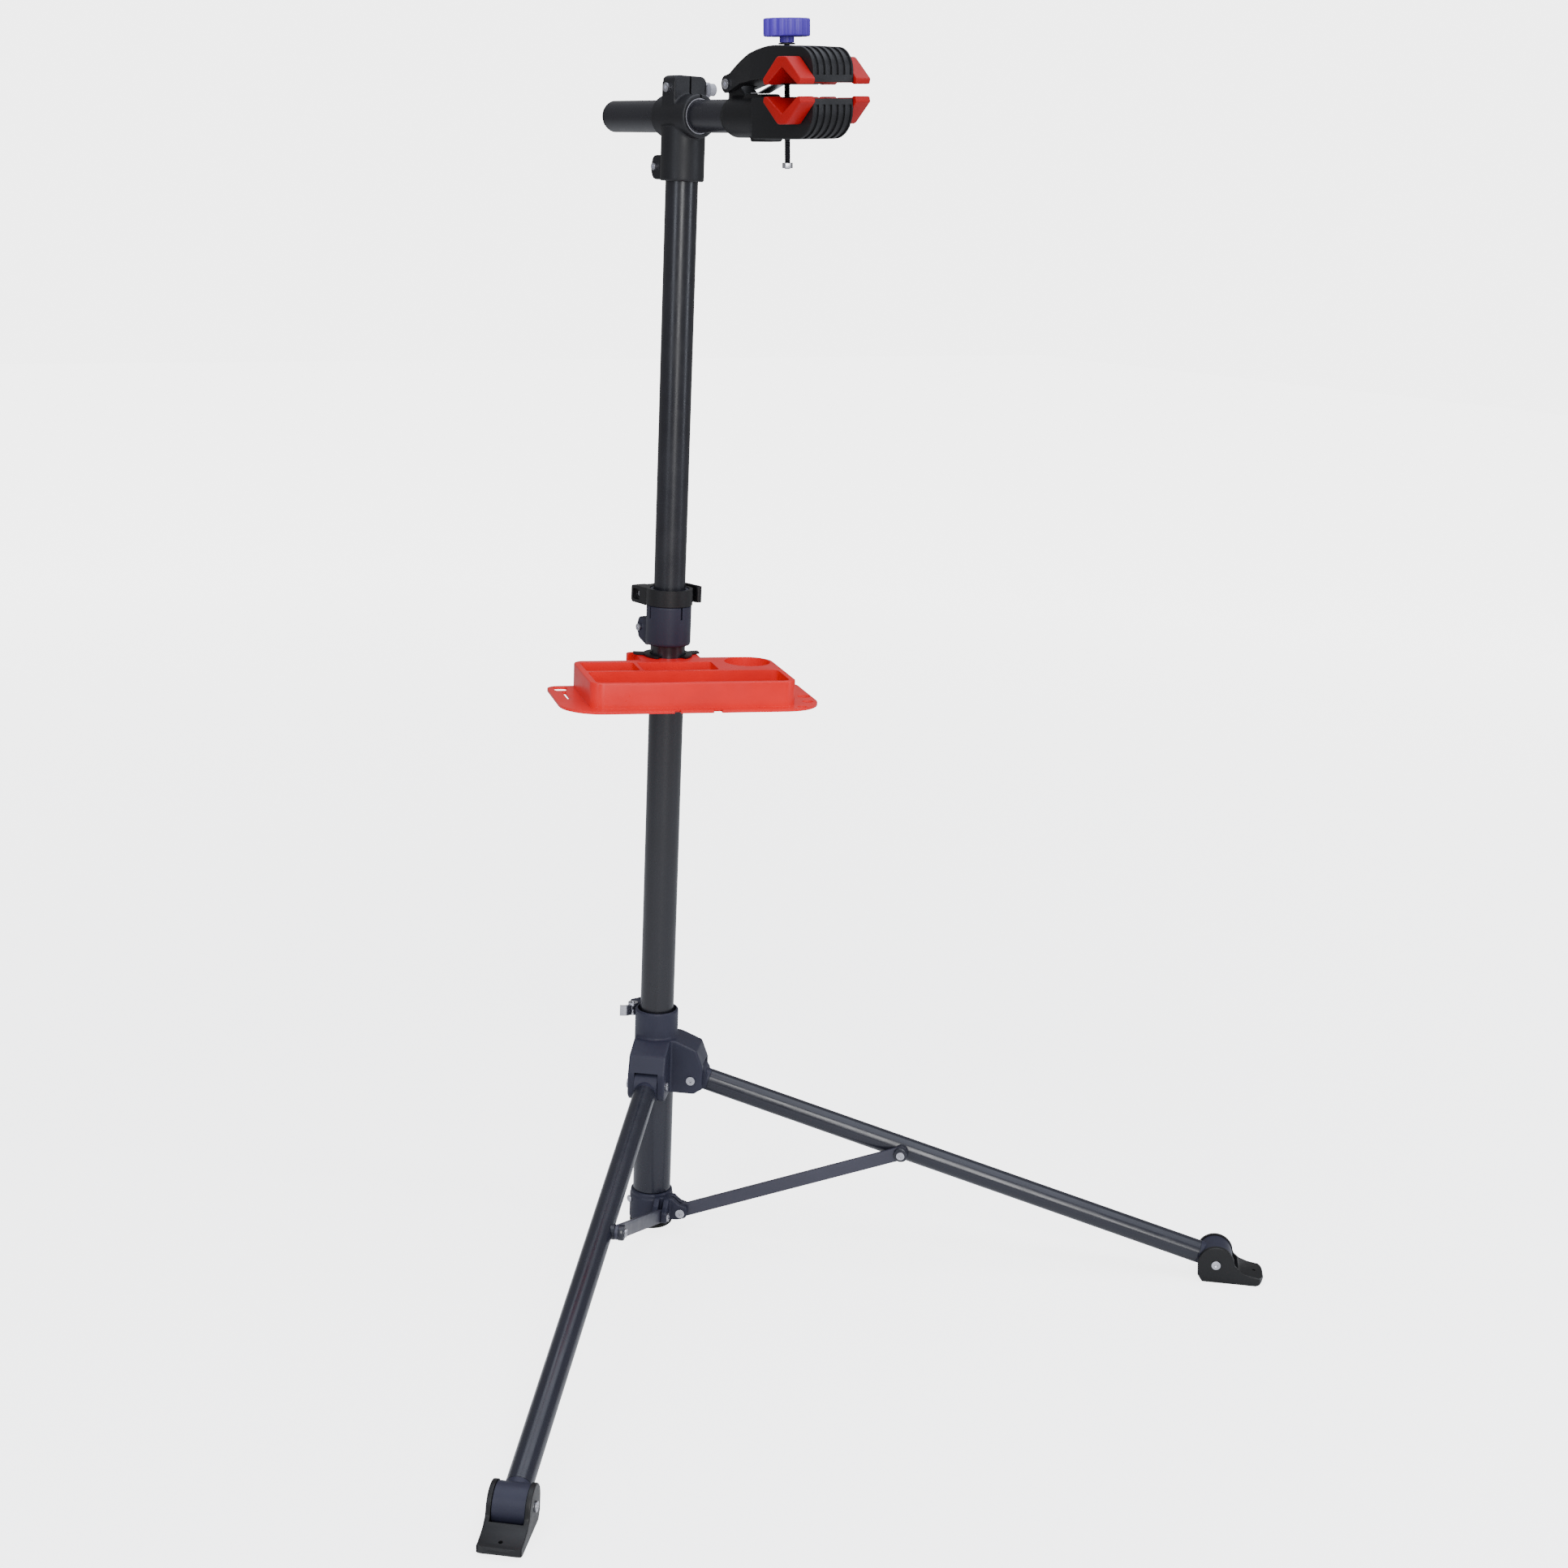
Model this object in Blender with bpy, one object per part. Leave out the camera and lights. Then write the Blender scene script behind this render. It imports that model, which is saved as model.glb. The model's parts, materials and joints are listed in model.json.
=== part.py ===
"""A folding bicycle repair stand: mast, two folding legs, tool tray and jaw clamp.

All sizes are in millimetres and the meshes are scaled to metres at the end.
The origin is on the floor below the mast, +Z is up and +X points along the arm.
"""

import math

import bmesh
import bpy
from mathutils import Matrix, Vector

MM = 0.001
GAP = 0.3
SHARP_ANGLE = math.radians(35)
LARGE_ROUND = 24
MEDIUM_ROUND = 14
SMALL_ROUND = 8

# Mast, from the floor up
PAD_RADIUS = 24.5
PAD_HEIGHT = 4.0
BRACKET_RADIUS = 25.1
BRACKET_TOP = 42.0
BRACKET_FLOOR = 7.7
MIDDLE_TUBE_RADIUS = 19.0
MIDDLE_TUBE_BORE = 17.45
MIDDLE_TUBE_TOP = 729.0
UPPER_TUBE_RADIUS = 17.15
UPPER_TUBE_BORE = 15.75
UPPER_TUBE_BOTTOM = 452.4
UPPER_TUBE_TOP = 1215.5

# Collar at the top of the middle tube
COLLAR_RADIUS = 24.6
COLLAR_BOTTOM = 686.0
COLLAR_SHOULDER = 729.8
COLLAR_NECK_RADIUS = 21.4
COLLAR_NECK_BORE = 17.6
COLLAR_TOP = 747.5
COLLAR_SCREW = (-35.3, 699.8)
BAND_RADIUS = 25.5
BAND_BOTTOM = 730.3
BAND_TOP = 748.0
COLLAR_SKEWER = (-33.0, 738.0)
COLLAR_PIN_Y = 18.0

# Legs and struts, as radius from the mast axis and height
LEG_AZIMUTHS = {1: -45.0, 2: 45.0}
STRUT_SIDES = {1: 1, 2: -1}
HUB_PIVOT = (45.2, 186.5)
FOOT_PIVOT = (651.0, 22.0)
STRUT_FOOT = (38.9, 23.9)
STRUT_SHARE = 0.4028
LEG_RADIUS = 12.8
LEG_BORE = 11.4
LEG_LENGTH = math.dist(HUB_PIVOT, FOOT_PIVOT)
LEG_SLOPE = math.asin((HUB_PIVOT[1] - FOOT_PIVOT[1]) / LEG_LENGTH)
STRUT_ON_LEG = LEG_LENGTH * STRUT_SHARE
STRUT_HEAD = (
    HUB_PIVOT[0] + STRUT_ON_LEG * math.cos(LEG_SLOPE),
    HUB_PIVOT[1] - STRUT_ON_LEG * math.sin(LEG_SLOPE),
)
STRUT_LENGTH = math.dist(STRUT_FOOT, STRUT_HEAD)
STRUT_SLOPE = math.asin((STRUT_HEAD[1] - STRUT_FOOT[1]) / STRUT_LENGTH)
FOOT_BARREL_RADIUS = 19.3
FOOT_BARREL_HALF = 15.2
STRUT_INNER = 15.3
STRUT_OUTER = 19.3
STRUT_HALF_HEIGHT = 7.75
BOLT_RADIUS = 3.0
BOLT_HOLE = BOLT_RADIUS + GAP

# Hub that slides on the middle tube
HUB_RADIUS = 24.6
HUB_BOTTOM = 170.0
HUB_SHOULDER = 219.0
HUB_TOP = 263.6
SLEEVE_RADIUS = 21.65
SLEEVE_BORE = 19.35
SLEEVE_BOTTOM = 43.0
SLEEVE_TOP = 258.0
CHEEK_HALF = 21.0
BARREL_RADIUS = 17.5
BARREL_HALF = 13.0
HUB_SKEWER = (-27.5, 257.0)
HUB_PIN_Y = -14.5

# Tool tray, in its own frame: F runs forward and G across
TRAY_AZIMUTH = -22.5
TRAY_TOP = 673.0
TRAY_SHELF_TOP = 646.0
TRAY_BOTTOM = 643.0
TRAY_MAST_BORE = 19.5
CUP_CENTRE = (38.5, 80.5)
CUP_RADIUS = 25.0

# Arm head
ARM_HEIGHT = 1242.3
ARM_ROLL = 3.5
HEAD_SOCKET_RADIUS = 23.0
HEAD_SOCKET_BOTTOM = 1177.0
HEAD_BARREL_RADIUS = 22.0
HEAD_BARREL_HALF = 30.0
HEAD_TOP = 1282.5
HEAD_SCREW = (-32.0, 1191.0)
CLAMP_BOLT = (-2.0, 1270.0)
ARM_RADIUS = 16.4
ARM_BORE = 14.9
ARM_BUSH_RADIUS = 17.9
ARM_LEFT = -133.0
ARM_TUBE_END = 140.0

# Jaw clamp, in the arm's frame: X along the arm, Z up from its axis
JAW_BACK = 150.0
JAW_FRONT = 250.0
JAW_HALF_WIDTH = 24.5
JAW_BOTTOM = -21.5
JAW_LOWER_TOP = 18.0
JAW_UPPER_BOTTOM = 29.3
JAW_UPPER_TOP = 65.7
JAW_PIN = (98.0, 31.0)
VEE_X = 224.0
VEE_SLOPE = 0.662
VEE_LOWER = 2.4
VEE_UPPER = 44.9
VEE_THICKNESS = 9.2
PAD_LINER = 3.0
PAD_HALF = 30.0
PAD_END = 42.7
PAD_INNER = 8.0
ROD_X = 177.0
ROD_RADIUS = 3.0
ROD_BOTTOM = -50.0
KNOB_BOTTOM = 74.0
KNOB_TOP = 91.0
KNOB_RADIUS = 22.8
KNOB_FLUTES = 14
GROOVES = 6
GROOVE_PITCH = 8.0
GROOVE_WIDTH = 4.4
GROOVE_DEPTH = 1.6

FINISHES = {
    "mast_black": ((0.016, 0.016, 0.020), 0.32, 0.0),
    "casting_grey": ((0.030, 0.032, 0.045), 0.45, 0.0),
    "casting_black": ((0.016, 0.016, 0.019), 0.40, 0.0),
    "black_steel": ((0.020, 0.020, 0.022), 0.40, 0.0),
    "leg_grey": ((0.020, 0.021, 0.029), 0.38, 0.0),
    "strut_grey": ((0.040, 0.040, 0.055), 0.40, 0.0),
    "gloss_black": ((0.010, 0.010, 0.011), 0.20, 0.0),
    "jaw_black": ((0.018, 0.018, 0.020), 0.42, 0.0),
    "tray_red": ((0.800, 0.050, 0.035), 0.25, 0.0),
    "pad_red": ((0.680, 0.018, 0.022), 0.45, 0.0),
    "knob_violet": ((0.095, 0.060, 0.480), 0.40, 0.0),
    "bright_steel": ((0.700, 0.700, 0.740), 0.25, 1.0),
    "nylon_grey": ((0.350, 0.350, 0.380), 0.55, 0.0),
    "rubber_black": ((0.012, 0.012, 0.012), 0.80, 0.0),
}


# Helpers: outlines

def arc(centre, radius, start, end, steps):
    """Points along an arc from one angle to the other, in degrees."""
    points = []
    for step in range(steps + 1):
        angle = math.radians(start + (end - start) * step / steps)
        points.append((centre[0] + radius * math.cos(angle), centre[1] + radius * math.sin(angle)))
    return points


def circle(centre, radius, segments):
    """A closed ring of points."""
    return arc(centre, radius, 0, 360, segments)[:-1]


def rounded(corners, steps=3):
    """Round each corner (x, y, radius) of a closed outline with an arc."""
    points = []
    for index, (x, y, radius) in enumerate(corners):
        corner = Vector((x, y))
        if radius == 0:
            points.append((x, y))
            continue
        before = (Vector(corners[index - 1][:2]) - corner).normalized()
        after = (Vector(corners[(index + 1) % len(corners)][:2]) - corner).normalized()
        half = before.angle(after) / 2
        centre = corner + (before + after).normalized() * radius / math.sin(half)
        start = corner + before * radius / math.tan(half) - centre
        end = corner + after * radius / math.tan(half) - centre
        sweep = start.angle(end)
        for step in range(steps + 1):
            share = step / steps
            blend = start * math.sin((1 - share) * sweep) + end * math.sin(share * sweep)
            points.append(tuple(centre + blend / math.sin(sweep)))
    return points


def rectangle(left, right, low, high, radius=0, steps=3):
    """A rectangle with rounded corners."""
    corners = [(left, low, radius), (right, low, radius), (right, high, radius), (left, high, radius)]
    return rounded(corners, steps)


def strip(path, thickness):
    """The outline of a band of even thickness along a path."""
    left = []
    right = []
    for index, point in enumerate(path):
        before = Vector(path[max(index - 1, 0)])
        after = Vector(path[min(index + 1, len(path) - 1)])
        along = (after - before).normalized()
        side = Vector((-along.y, along.x)) * thickness / 2
        left.append(tuple(Vector(point) + side))
        right.append(tuple(Vector(point) - side))
    return left + right[::-1]


def curve(points, steps=3):
    """A smooth path through the points."""
    path = []
    for index in range(len(points) - 1):
        p0 = Vector(points[max(index - 1, 0)])
        p1 = Vector(points[index])
        p2 = Vector(points[index + 1])
        p3 = Vector(points[min(index + 2, len(points) - 1)])
        for step in range(steps):
            t = step / steps
            blend = 2 * p1 + (p2 - p0) * t
            blend += (2 * p0 - 5 * p1 + 4 * p2 - p3) * t ** 2
            blend += (3 * p1 - 3 * p2 + p3 - p0) * t ** 3
            path.append(tuple(blend / 2))
    path.append(tuple(points[-1]))
    return path


# Helpers: solids, as bmeshes in millimetres

def prism(outline, low, high, axis="z"):
    """Extrude a closed outline along an axis; the outline's plane is the other two axes in order."""
    mesh = bmesh.new()
    place = {
        "x": lambda a, b: (low, a, b),
        "y": lambda a, b: (a, low, b),
        "z": lambda a, b: (a, b, low),
    }[axis]
    direction = {"x": (1, 0, 0), "y": (0, 1, 0), "z": (0, 0, 1)}[axis]
    face = mesh.faces.new([mesh.verts.new(place(a, b)) for a, b in outline])
    extruded = bmesh.ops.extrude_face_region(mesh, geom=[face], use_keep_orig=True)
    moved = [item for item in extruded["geom"] if isinstance(item, bmesh.types.BMVert)]
    bmesh.ops.translate(mesh, verts=moved, vec=Vector(direction) * (high - low))
    bmesh.ops.recalc_face_normals(mesh, faces=mesh.faces)
    return mesh


def box(x_low, x_high, y_low, y_high, z_low, z_high):
    """A plain block."""
    return prism(rectangle(x_low, x_high, y_low, y_high), z_low, z_high)


def lathe(outline, axis="z", segments=LARGE_ROUND):
    """Turn an outline of (radius, position) points about an axis through the frame's origin."""
    mesh = bmesh.new()
    ring = [mesh.verts.new((radius, 0, position)) for radius, position in outline]
    edges = []
    for index, vert in enumerate(ring):
        before = ring[index - 1]
        if before.co.x > 0 or vert.co.x > 0:
            edges.append(mesh.edges.new((before, vert)))
    full_turn = 2 * math.pi
    bmesh.ops.spin(
        mesh, geom=ring + edges, cent=(0, 0, 0), axis=(0, 0, 1), angle=full_turn, steps=segments
    )
    bmesh.ops.remove_doubles(mesh, verts=mesh.verts, dist=0.001)
    on_axis = [vert for vert in mesh.verts if vert.co.xy.length < 0.001]
    bmesh.ops.dissolve_verts(mesh, verts=on_axis)
    bmesh.ops.recalc_face_normals(mesh, faces=mesh.faces)
    turns = {
        "x": Matrix(((0, 0, 1), (1, 0, 0), (0, 1, 0))),
        "y": Matrix(((0, 1, 0), (0, 0, 1), (1, 0, 0))),
        "z": Matrix.Identity(3),
    }
    bmesh.ops.transform(mesh, verts=mesh.verts, matrix=turns[axis].to_4x4())
    return mesh


def tube(outer, inner, low, high, axis="z", segments=LARGE_ROUND):
    """A round tube."""
    return lathe([(inner, low), (outer, low), (outer, high), (inner, high)], axis, segments)


def rod(radius, low, high, axis="z", centre=(0, 0), segments=SMALL_ROUND):
    """A round bar; its centre is given in the other two axes in order."""
    return prism(circle(centre, radius, segments), low, high, axis)


def moved(mesh, x=0, y=0, z=0):
    """The same mesh, shifted."""
    bmesh.ops.translate(mesh, verts=mesh.verts, vec=(x, y, z))
    return mesh


def turned(mesh, azimuth):
    """The same mesh, turned about the mast's axis."""
    matrix = Matrix.Rotation(math.radians(azimuth), 4, "Z")
    bmesh.ops.transform(mesh, verts=mesh.verts, matrix=matrix)
    return mesh


def bolt(head, head_low, head_high, tip, axis="y"):
    """A bolt with its head between two positions and its shank out to the tip."""
    outline = [
        (0, head_high),
        (head, head_high),
        (head, head_low),
        (BOLT_RADIUS, head_low),
        (BOLT_RADIUS, tip),
        (0, tip),
    ]
    return lathe(outline, axis, SMALL_ROUND)


# Helpers: scene objects

def material(finish):
    """The material of one finish, made the first time it is asked for."""
    if finish in bpy.data.materials:
        return bpy.data.materials[finish]
    colour, roughness, metallic = FINISHES[finish]
    made = bpy.data.materials.new(finish)
    made.use_nodes = True
    shader = made.node_tree.nodes["Principled BSDF"]
    shader.inputs["Base Color"].default_value = (*colour, 1.0)
    shader.inputs["Roughness"].default_value = roughness
    shader.inputs["Metallic"].default_value = metallic
    return made


def frame_at(name, location, rotation=(0, 0, 0), parent=None):
    """An empty on a joint's axis, with its rotation in degrees."""
    empty = bpy.data.objects.new(name, None)
    bpy.context.scene.collection.objects.link(empty)
    empty.parent = parent
    empty.location = Vector(location) * MM
    empty.rotation_euler = [math.radians(angle) for angle in rotation]
    empty.empty_display_size = 0.02
    return empty


def link_mesh(name, mesh, frame, origin):
    """Link a bmesh as an object, with its origin at the given point of the frame."""
    bmesh.ops.translate(mesh, verts=mesh.verts, vec=-Vector(origin))
    bmesh.ops.scale(mesh, verts=mesh.verts, vec=(MM, MM, MM))
    data = bpy.data.meshes.new(name)
    mesh.to_mesh(data)
    mesh.free()
    data.shade_smooth()
    data.set_sharp_from_angle(angle=SHARP_ANGLE)
    linked = bpy.data.objects.new(name, data)
    bpy.context.scene.collection.objects.link(linked)
    linked.parent = frame
    linked.location = Vector(origin) * MM
    return linked


def part(name, mesh, finish, frame=None, origin=(0, 0, 0)):
    """One physical piece with its own material."""
    piece = link_mesh(name, mesh, frame, origin)
    piece.data.materials.append(material(finish))
    return piece


def soften(piece, width, segments=1):
    """Round the sharp edges."""
    bevel = piece.modifiers.new("soft_edges", "BEVEL")
    bevel.width = width * MM
    bevel.segments = segments
    bevel.limit_method = "ANGLE"
    bevel.angle_limit = SHARP_ANGLE
    return piece


def combine(piece, mesh, operation):
    """Add a Boolean modifier with its own hidden helper."""
    name = f"{piece.name}_{operation.lower()}_{len(piece.modifiers)}"
    helper = link_mesh(name, mesh, piece.parent, piece.location / MM)
    helper.hide_render = True
    helper.display_type = "WIRE"
    modifier = piece.modifiers.new(name, "BOOLEAN")
    modifier.operation = operation
    modifier.solver = "EXACT"
    modifier.object = helper


def cut(piece, *meshes):
    """Take each mesh away from the piece."""
    for mesh in meshes:
        combine(piece, mesh, "DIFFERENCE")
    return piece


def add(piece, *meshes):
    """Join each mesh to the piece."""
    for mesh in meshes:
        combine(piece, mesh, "UNION")
    return piece


# Mast foot and middle tube

def make_foot_pad():
    outline = [(0, 0), (PAD_RADIUS - 1.2, 0), (PAD_RADIUS, 1.2), (PAD_RADIUS, PAD_HEIGHT), (0, PAD_HEIGHT)]
    part("mast_foot_pad", lathe(outline), "rubber_black")


def make_bracket():
    """The cast cup under the mast, with a fork for each strut."""
    bottom = PAD_HEIGHT + GAP
    bore = MIDDLE_TUBE_RADIUS + GAP
    outline = [
        (0, bottom),
        (BRACKET_RADIUS - 3, bottom),
        (BRACKET_RADIUS - 0.9, bottom + 0.9),
        (BRACKET_RADIUS, bottom + 3),
        (BRACKET_RADIUS, 35.5),
        (BRACKET_RADIUS - 0.9, 36.4),
        (BRACKET_RADIUS - 0.9, 40.6),
        (BRACKET_RADIUS - 2, BRACKET_TOP),
        (bore, BRACKET_TOP),
        (bore, BRACKET_FLOOR),
        (0, BRACKET_FLOOR),
    ]
    bracket = part("mast_bracket", lathe(outline), "casting_grey")
    for leg, azimuth in LEG_AZIMUTHS.items():
        side = STRUT_SIDES[leg]
        for inner, outer, start in ((8.6, STRUT_INNER - 0.4, 21), (STRUT_OUTER + 0.4, 26, 12)):
            cheek = rounded([
                (start, 12.5, 0), (38, 15.5, 5), (46.8, 19, 6), (46.8, 31.5, 3), (37, 34, 5), (29, 41, 3),
                (start, 41, 0),
            ])
            low, high = sorted((side * inner, side * outer))
            add(bracket, turned(prism(cheek, low, high, "y"), azimuth))
        cut(bracket, turned(rod(BOLT_HOLE, -40, 40, "y", STRUT_FOOT), azimuth))
    cut(bracket, rod(2.3, -30, -17.2, "y", (-8, 30)))
    cut(bracket, lathe([(0, BRACKET_FLOOR), (bore, BRACKET_FLOOR), (bore, 60), (0, 60)]))


def make_bracket_fasteners():
    screw = lathe(
        [(0, -26.5), (3.6, -26.5), (4.2, -25.9), (4.2, -24.9), (2, -24.9), (2, -18.6), (0, -18.6)], "y", 12
    )
    part("bracket_screw", moved(screw, x=-8, z=30), "bright_steel")
    for leg, azimuth in LEG_AZIMUTHS.items():
        side = STRUT_SIDES[leg]
        shape = moved(bolt(5.2, side * 26.3, side * 28.2, side * 7.4), x=STRUT_FOOT[0], z=STRUT_FOOT[1])
        part(f"bracket_bolt_{leg}", turned(shape, azimuth), "bright_steel")


def make_middle_tube():
    shape = tube(MIDDLE_TUBE_RADIUS, MIDDLE_TUBE_BORE, BRACKET_FLOOR + GAP, MIDDLE_TUBE_TOP)
    part("middle_tube", shape, "mast_black")


# Collar on the middle tube

def make_collar():
    """The casting that closes on the upper tube; four slits let its neck close."""
    bore = MIDDLE_TUBE_RADIUS + GAP
    outline = [
        (bore - 1, COLLAR_BOTTOM),
        (COLLAR_RADIUS - 1.2, COLLAR_BOTTOM),
        (COLLAR_RADIUS, COLLAR_BOTTOM + 2),
        (COLLAR_RADIUS, COLLAR_SHOULDER),
        (COLLAR_NECK_RADIUS, COLLAR_SHOULDER),
        (COLLAR_NECK_RADIUS, COLLAR_TOP),
        (COLLAR_NECK_BORE, COLLAR_TOP),
        (COLLAR_NECK_BORE, COLLAR_SHOULDER),
        (bore - 1, COLLAR_SHOULDER),
    ]
    casting = part("collar_casting", lathe(outline), "casting_grey")
    lug = rounded([
        (-20, 712, 0), (-38, 712, 6), (-42.5, 700, 3), (-38, 688, 6), (-24, 682, 0), (-20, 682, 0),
    ])
    add(casting, prism(lug, -14, 14, "y"))
    slit = 1.1
    cut(
        casting,
        rod(bore, 670, MIDDLE_TUBE_TOP + GAP, segments=LARGE_ROUND),
        box(-60, -17, -slit, slit, 670, 716),
        box(-30, 30, -slit, slit, 716, 760),
        box(-slit, slit, -30, 30, 716, 760),
        rod(BOLT_HOLE, -20, 20, "y", COLLAR_SCREW),
    )
    shape = moved(bolt(4.0, -14.4, -16.8, 12), x=COLLAR_SCREW[0], z=COLLAR_SCREW[1])
    part("collar_screw", shape, "bright_steel")


def make_collar_band():
    """The quick-release band with its square end block."""
    band = part(
        "collar_band", tube(BAND_RADIUS, COLLAR_NECK_RADIUS + GAP, BAND_BOTTOM, BAND_TOP), "gloss_black"
    )
    block = rounded([(-42.6, 728, 3.5), (-14, 728, 0), (-14, 747, 0), (-42.6, 747, 3.5)])
    far_ear = rounded([(-40, BAND_BOTTOM, 3.5), (-16, BAND_BOTTOM, 0), (-16, 747, 0), (-40, 747, 3.5)])
    add(band, prism(block, -21.5, -6, "y"), prism(far_ear, -7, 10, "y"))
    cut(
        band,
        rod(COLLAR_RADIUS + GAP, 700, BAND_BOTTOM - 0.1, segments=LARGE_ROUND),
        rod(COLLAR_NECK_RADIUS + GAP, 700, 760, segments=LARGE_ROUND),
        box(-60, -18, -1.1, 1.1, 700, 760),
        rod(BOLT_HOLE, -30, 20, "y", COLLAR_SKEWER),
        prism(rectangle(-39.4, -26.6, 731.8, 743.6, 2.5), -30, -18.5, "y"),
    )


def make_quick_release(name, skewer, pin_y, far_end, ear_y, height_low, height_high, finish):
    """A skewer with a vertical pin through its end, which the lever turns on."""
    side = 1 if pin_y > 0 else -1
    x, z = skewer
    shaft = rod(BOLT_RADIUS - 0.2, *sorted((far_end, pin_y + side * 2.6)), "y", skewer)
    bar = part(f"{name}_skewer", shaft, finish)
    if ear_y:
        add(bar, rod(4.0, *sorted((ear_y, far_end)), "y", skewer, 6))
    cut(bar, rod(2.0, z - 10, z + 10, "z", (x, pin_y), 12))
    pin = rod(1.7, height_low, height_high, "z", (x, pin_y), 12)
    part(f"{name}_lever_pin", pin, "bright_steel")


def make_collar_lever():
    """The black lever that wraps round the band and curls outward at its tip."""
    x, z = COLLAR_SKEWER
    path = curve([(x + 2, COLLAR_PIN_Y + 5.4), (-22, 24.5), (-12, 28.2), (-2, 29.6), (5, 29.8), (10, 31.5)])
    origin = (x, COLLAR_PIN_Y, z)
    lever = part("collar_lever", prism(strip(path, 3.4), 731.2, 750, "z"), "gloss_black", None, origin)
    add(
        lever,
        rod(6.6, 731.2, 746.6, "z", (x, COLLAR_PIN_Y), MEDIUM_ROUND),
        rod(3.6, 731.6, 749.2, "z", path[-1], MEDIUM_ROUND),
    )
    slot = rounded([(x - 9, 5, 0), (x + 7.4, 5, 0), (x + 7.4, 20, 0), (x + 4, 22.2, 0), (x - 9, 22.2, 0)])
    cut(lever, prism(slot, z - 4, z + 4), rod(2.0, 720, 760, "z", (x, COLLAR_PIN_Y), 12))


# Hub

def make_hub():
    """The sliding hub: a socket with a fork for each leg and a pinch lug behind."""
    bore = SLEEVE_RADIUS + GAP
    outline = [
        (bore - 1, HUB_BOTTOM),
        (HUB_RADIUS + 1, HUB_BOTTOM),
        (HUB_RADIUS + 1, HUB_SHOULDER - 1),
        (HUB_RADIUS, HUB_SHOULDER),
        (HUB_RADIUS, HUB_TOP - 2),
        (HUB_RADIUS - 0.6, HUB_TOP),
        (bore - 1, HUB_TOP),
    ]
    hub = part("hub_casting", lathe(outline), "casting_grey")
    fork = rounded([
        (14, 233, 0), (27, 232, 0), (50.5, 222.5, 4), (58, 203, 5), (58, 177, 8), (49, 169.5, 6),
        (14, 169.5, 0),
    ])
    for azimuth in LEG_AZIMUTHS.values():
        add(hub, turned(prism(fork, -CHEEK_HALF, CHEEK_HALF, "y"), azimuth))
    lug = rounded([(-20, 263, 0), (-44, 263, 5), (-44, 248, 5), (-20, 241, 0)])
    add(hub, prism(lug, -8, 8, "y"))
    roof = arc(HUB_PIVOT, BARREL_RADIUS + 1, 180, 75, 4)
    opening = [(roof[0][0], 160)] + roof + [(80, roof[-1][1]), (80, 160)]
    for azimuth in LEG_AZIMUTHS.values():
        slot = prism(opening, -BARREL_HALF - GAP, BARREL_HALF + GAP, "y")
        cut(hub, turned(slot, azimuth), turned(rod(BOLT_HOLE, -40, 40, "y", HUB_PIVOT), azimuth))
    cut(
        hub,
        rod(bore, 150, 280, segments=LARGE_ROUND),
        box(-60, -17, -1.1, 1.1, 236, 280),
        rod(BOLT_HOLE, -30, 30, "y", HUB_SKEWER),
    )
    for leg, azimuth in LEG_AZIMUTHS.items():
        profile = [(0, -23.7), (5, -23.7), (5, -21.4), (BOLT_RADIUS, -21.4)]
        outline = profile + [(radius, -position) for radius, position in profile[::-1]]
        shape = moved(lathe(outline, "y", SMALL_ROUND), x=HUB_PIVOT[0], z=HUB_PIVOT[1])
        part(f"hub_bolt_{leg}", turned(shape, azimuth), "bright_steel")


def make_sleeve():
    part("hub_sleeve", tube(SLEEVE_RADIUS, SLEEVE_BORE, SLEEVE_BOTTOM, SLEEVE_TOP), "leg_grey")


def make_hub_lever():
    """The bright strip lever that pinches the hub on the mast."""
    x, z = HUB_SKEWER
    path = curve([(x + 2, HUB_PIN_Y - 3), (x + 2.5, -21), (x + 2, -26), (x - 1.5, -31.5)])
    origin = (x, HUB_PIN_Y, z)
    lever = part("hub_lever", prism(strip(path, 3.0), 250.5, 262.5, "z"), "bright_steel", None, origin)
    add(lever, rod(5.6, 250, 264, "z", (x, HUB_PIN_Y), MEDIUM_ROUND))
    cut(lever, box(x - 9, x + 9, -18.4, 0, z - 4, z + 4), rod(2.0, 240, 280, "z", (x, HUB_PIN_Y), 12))


# Legs, struts and feet

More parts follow.
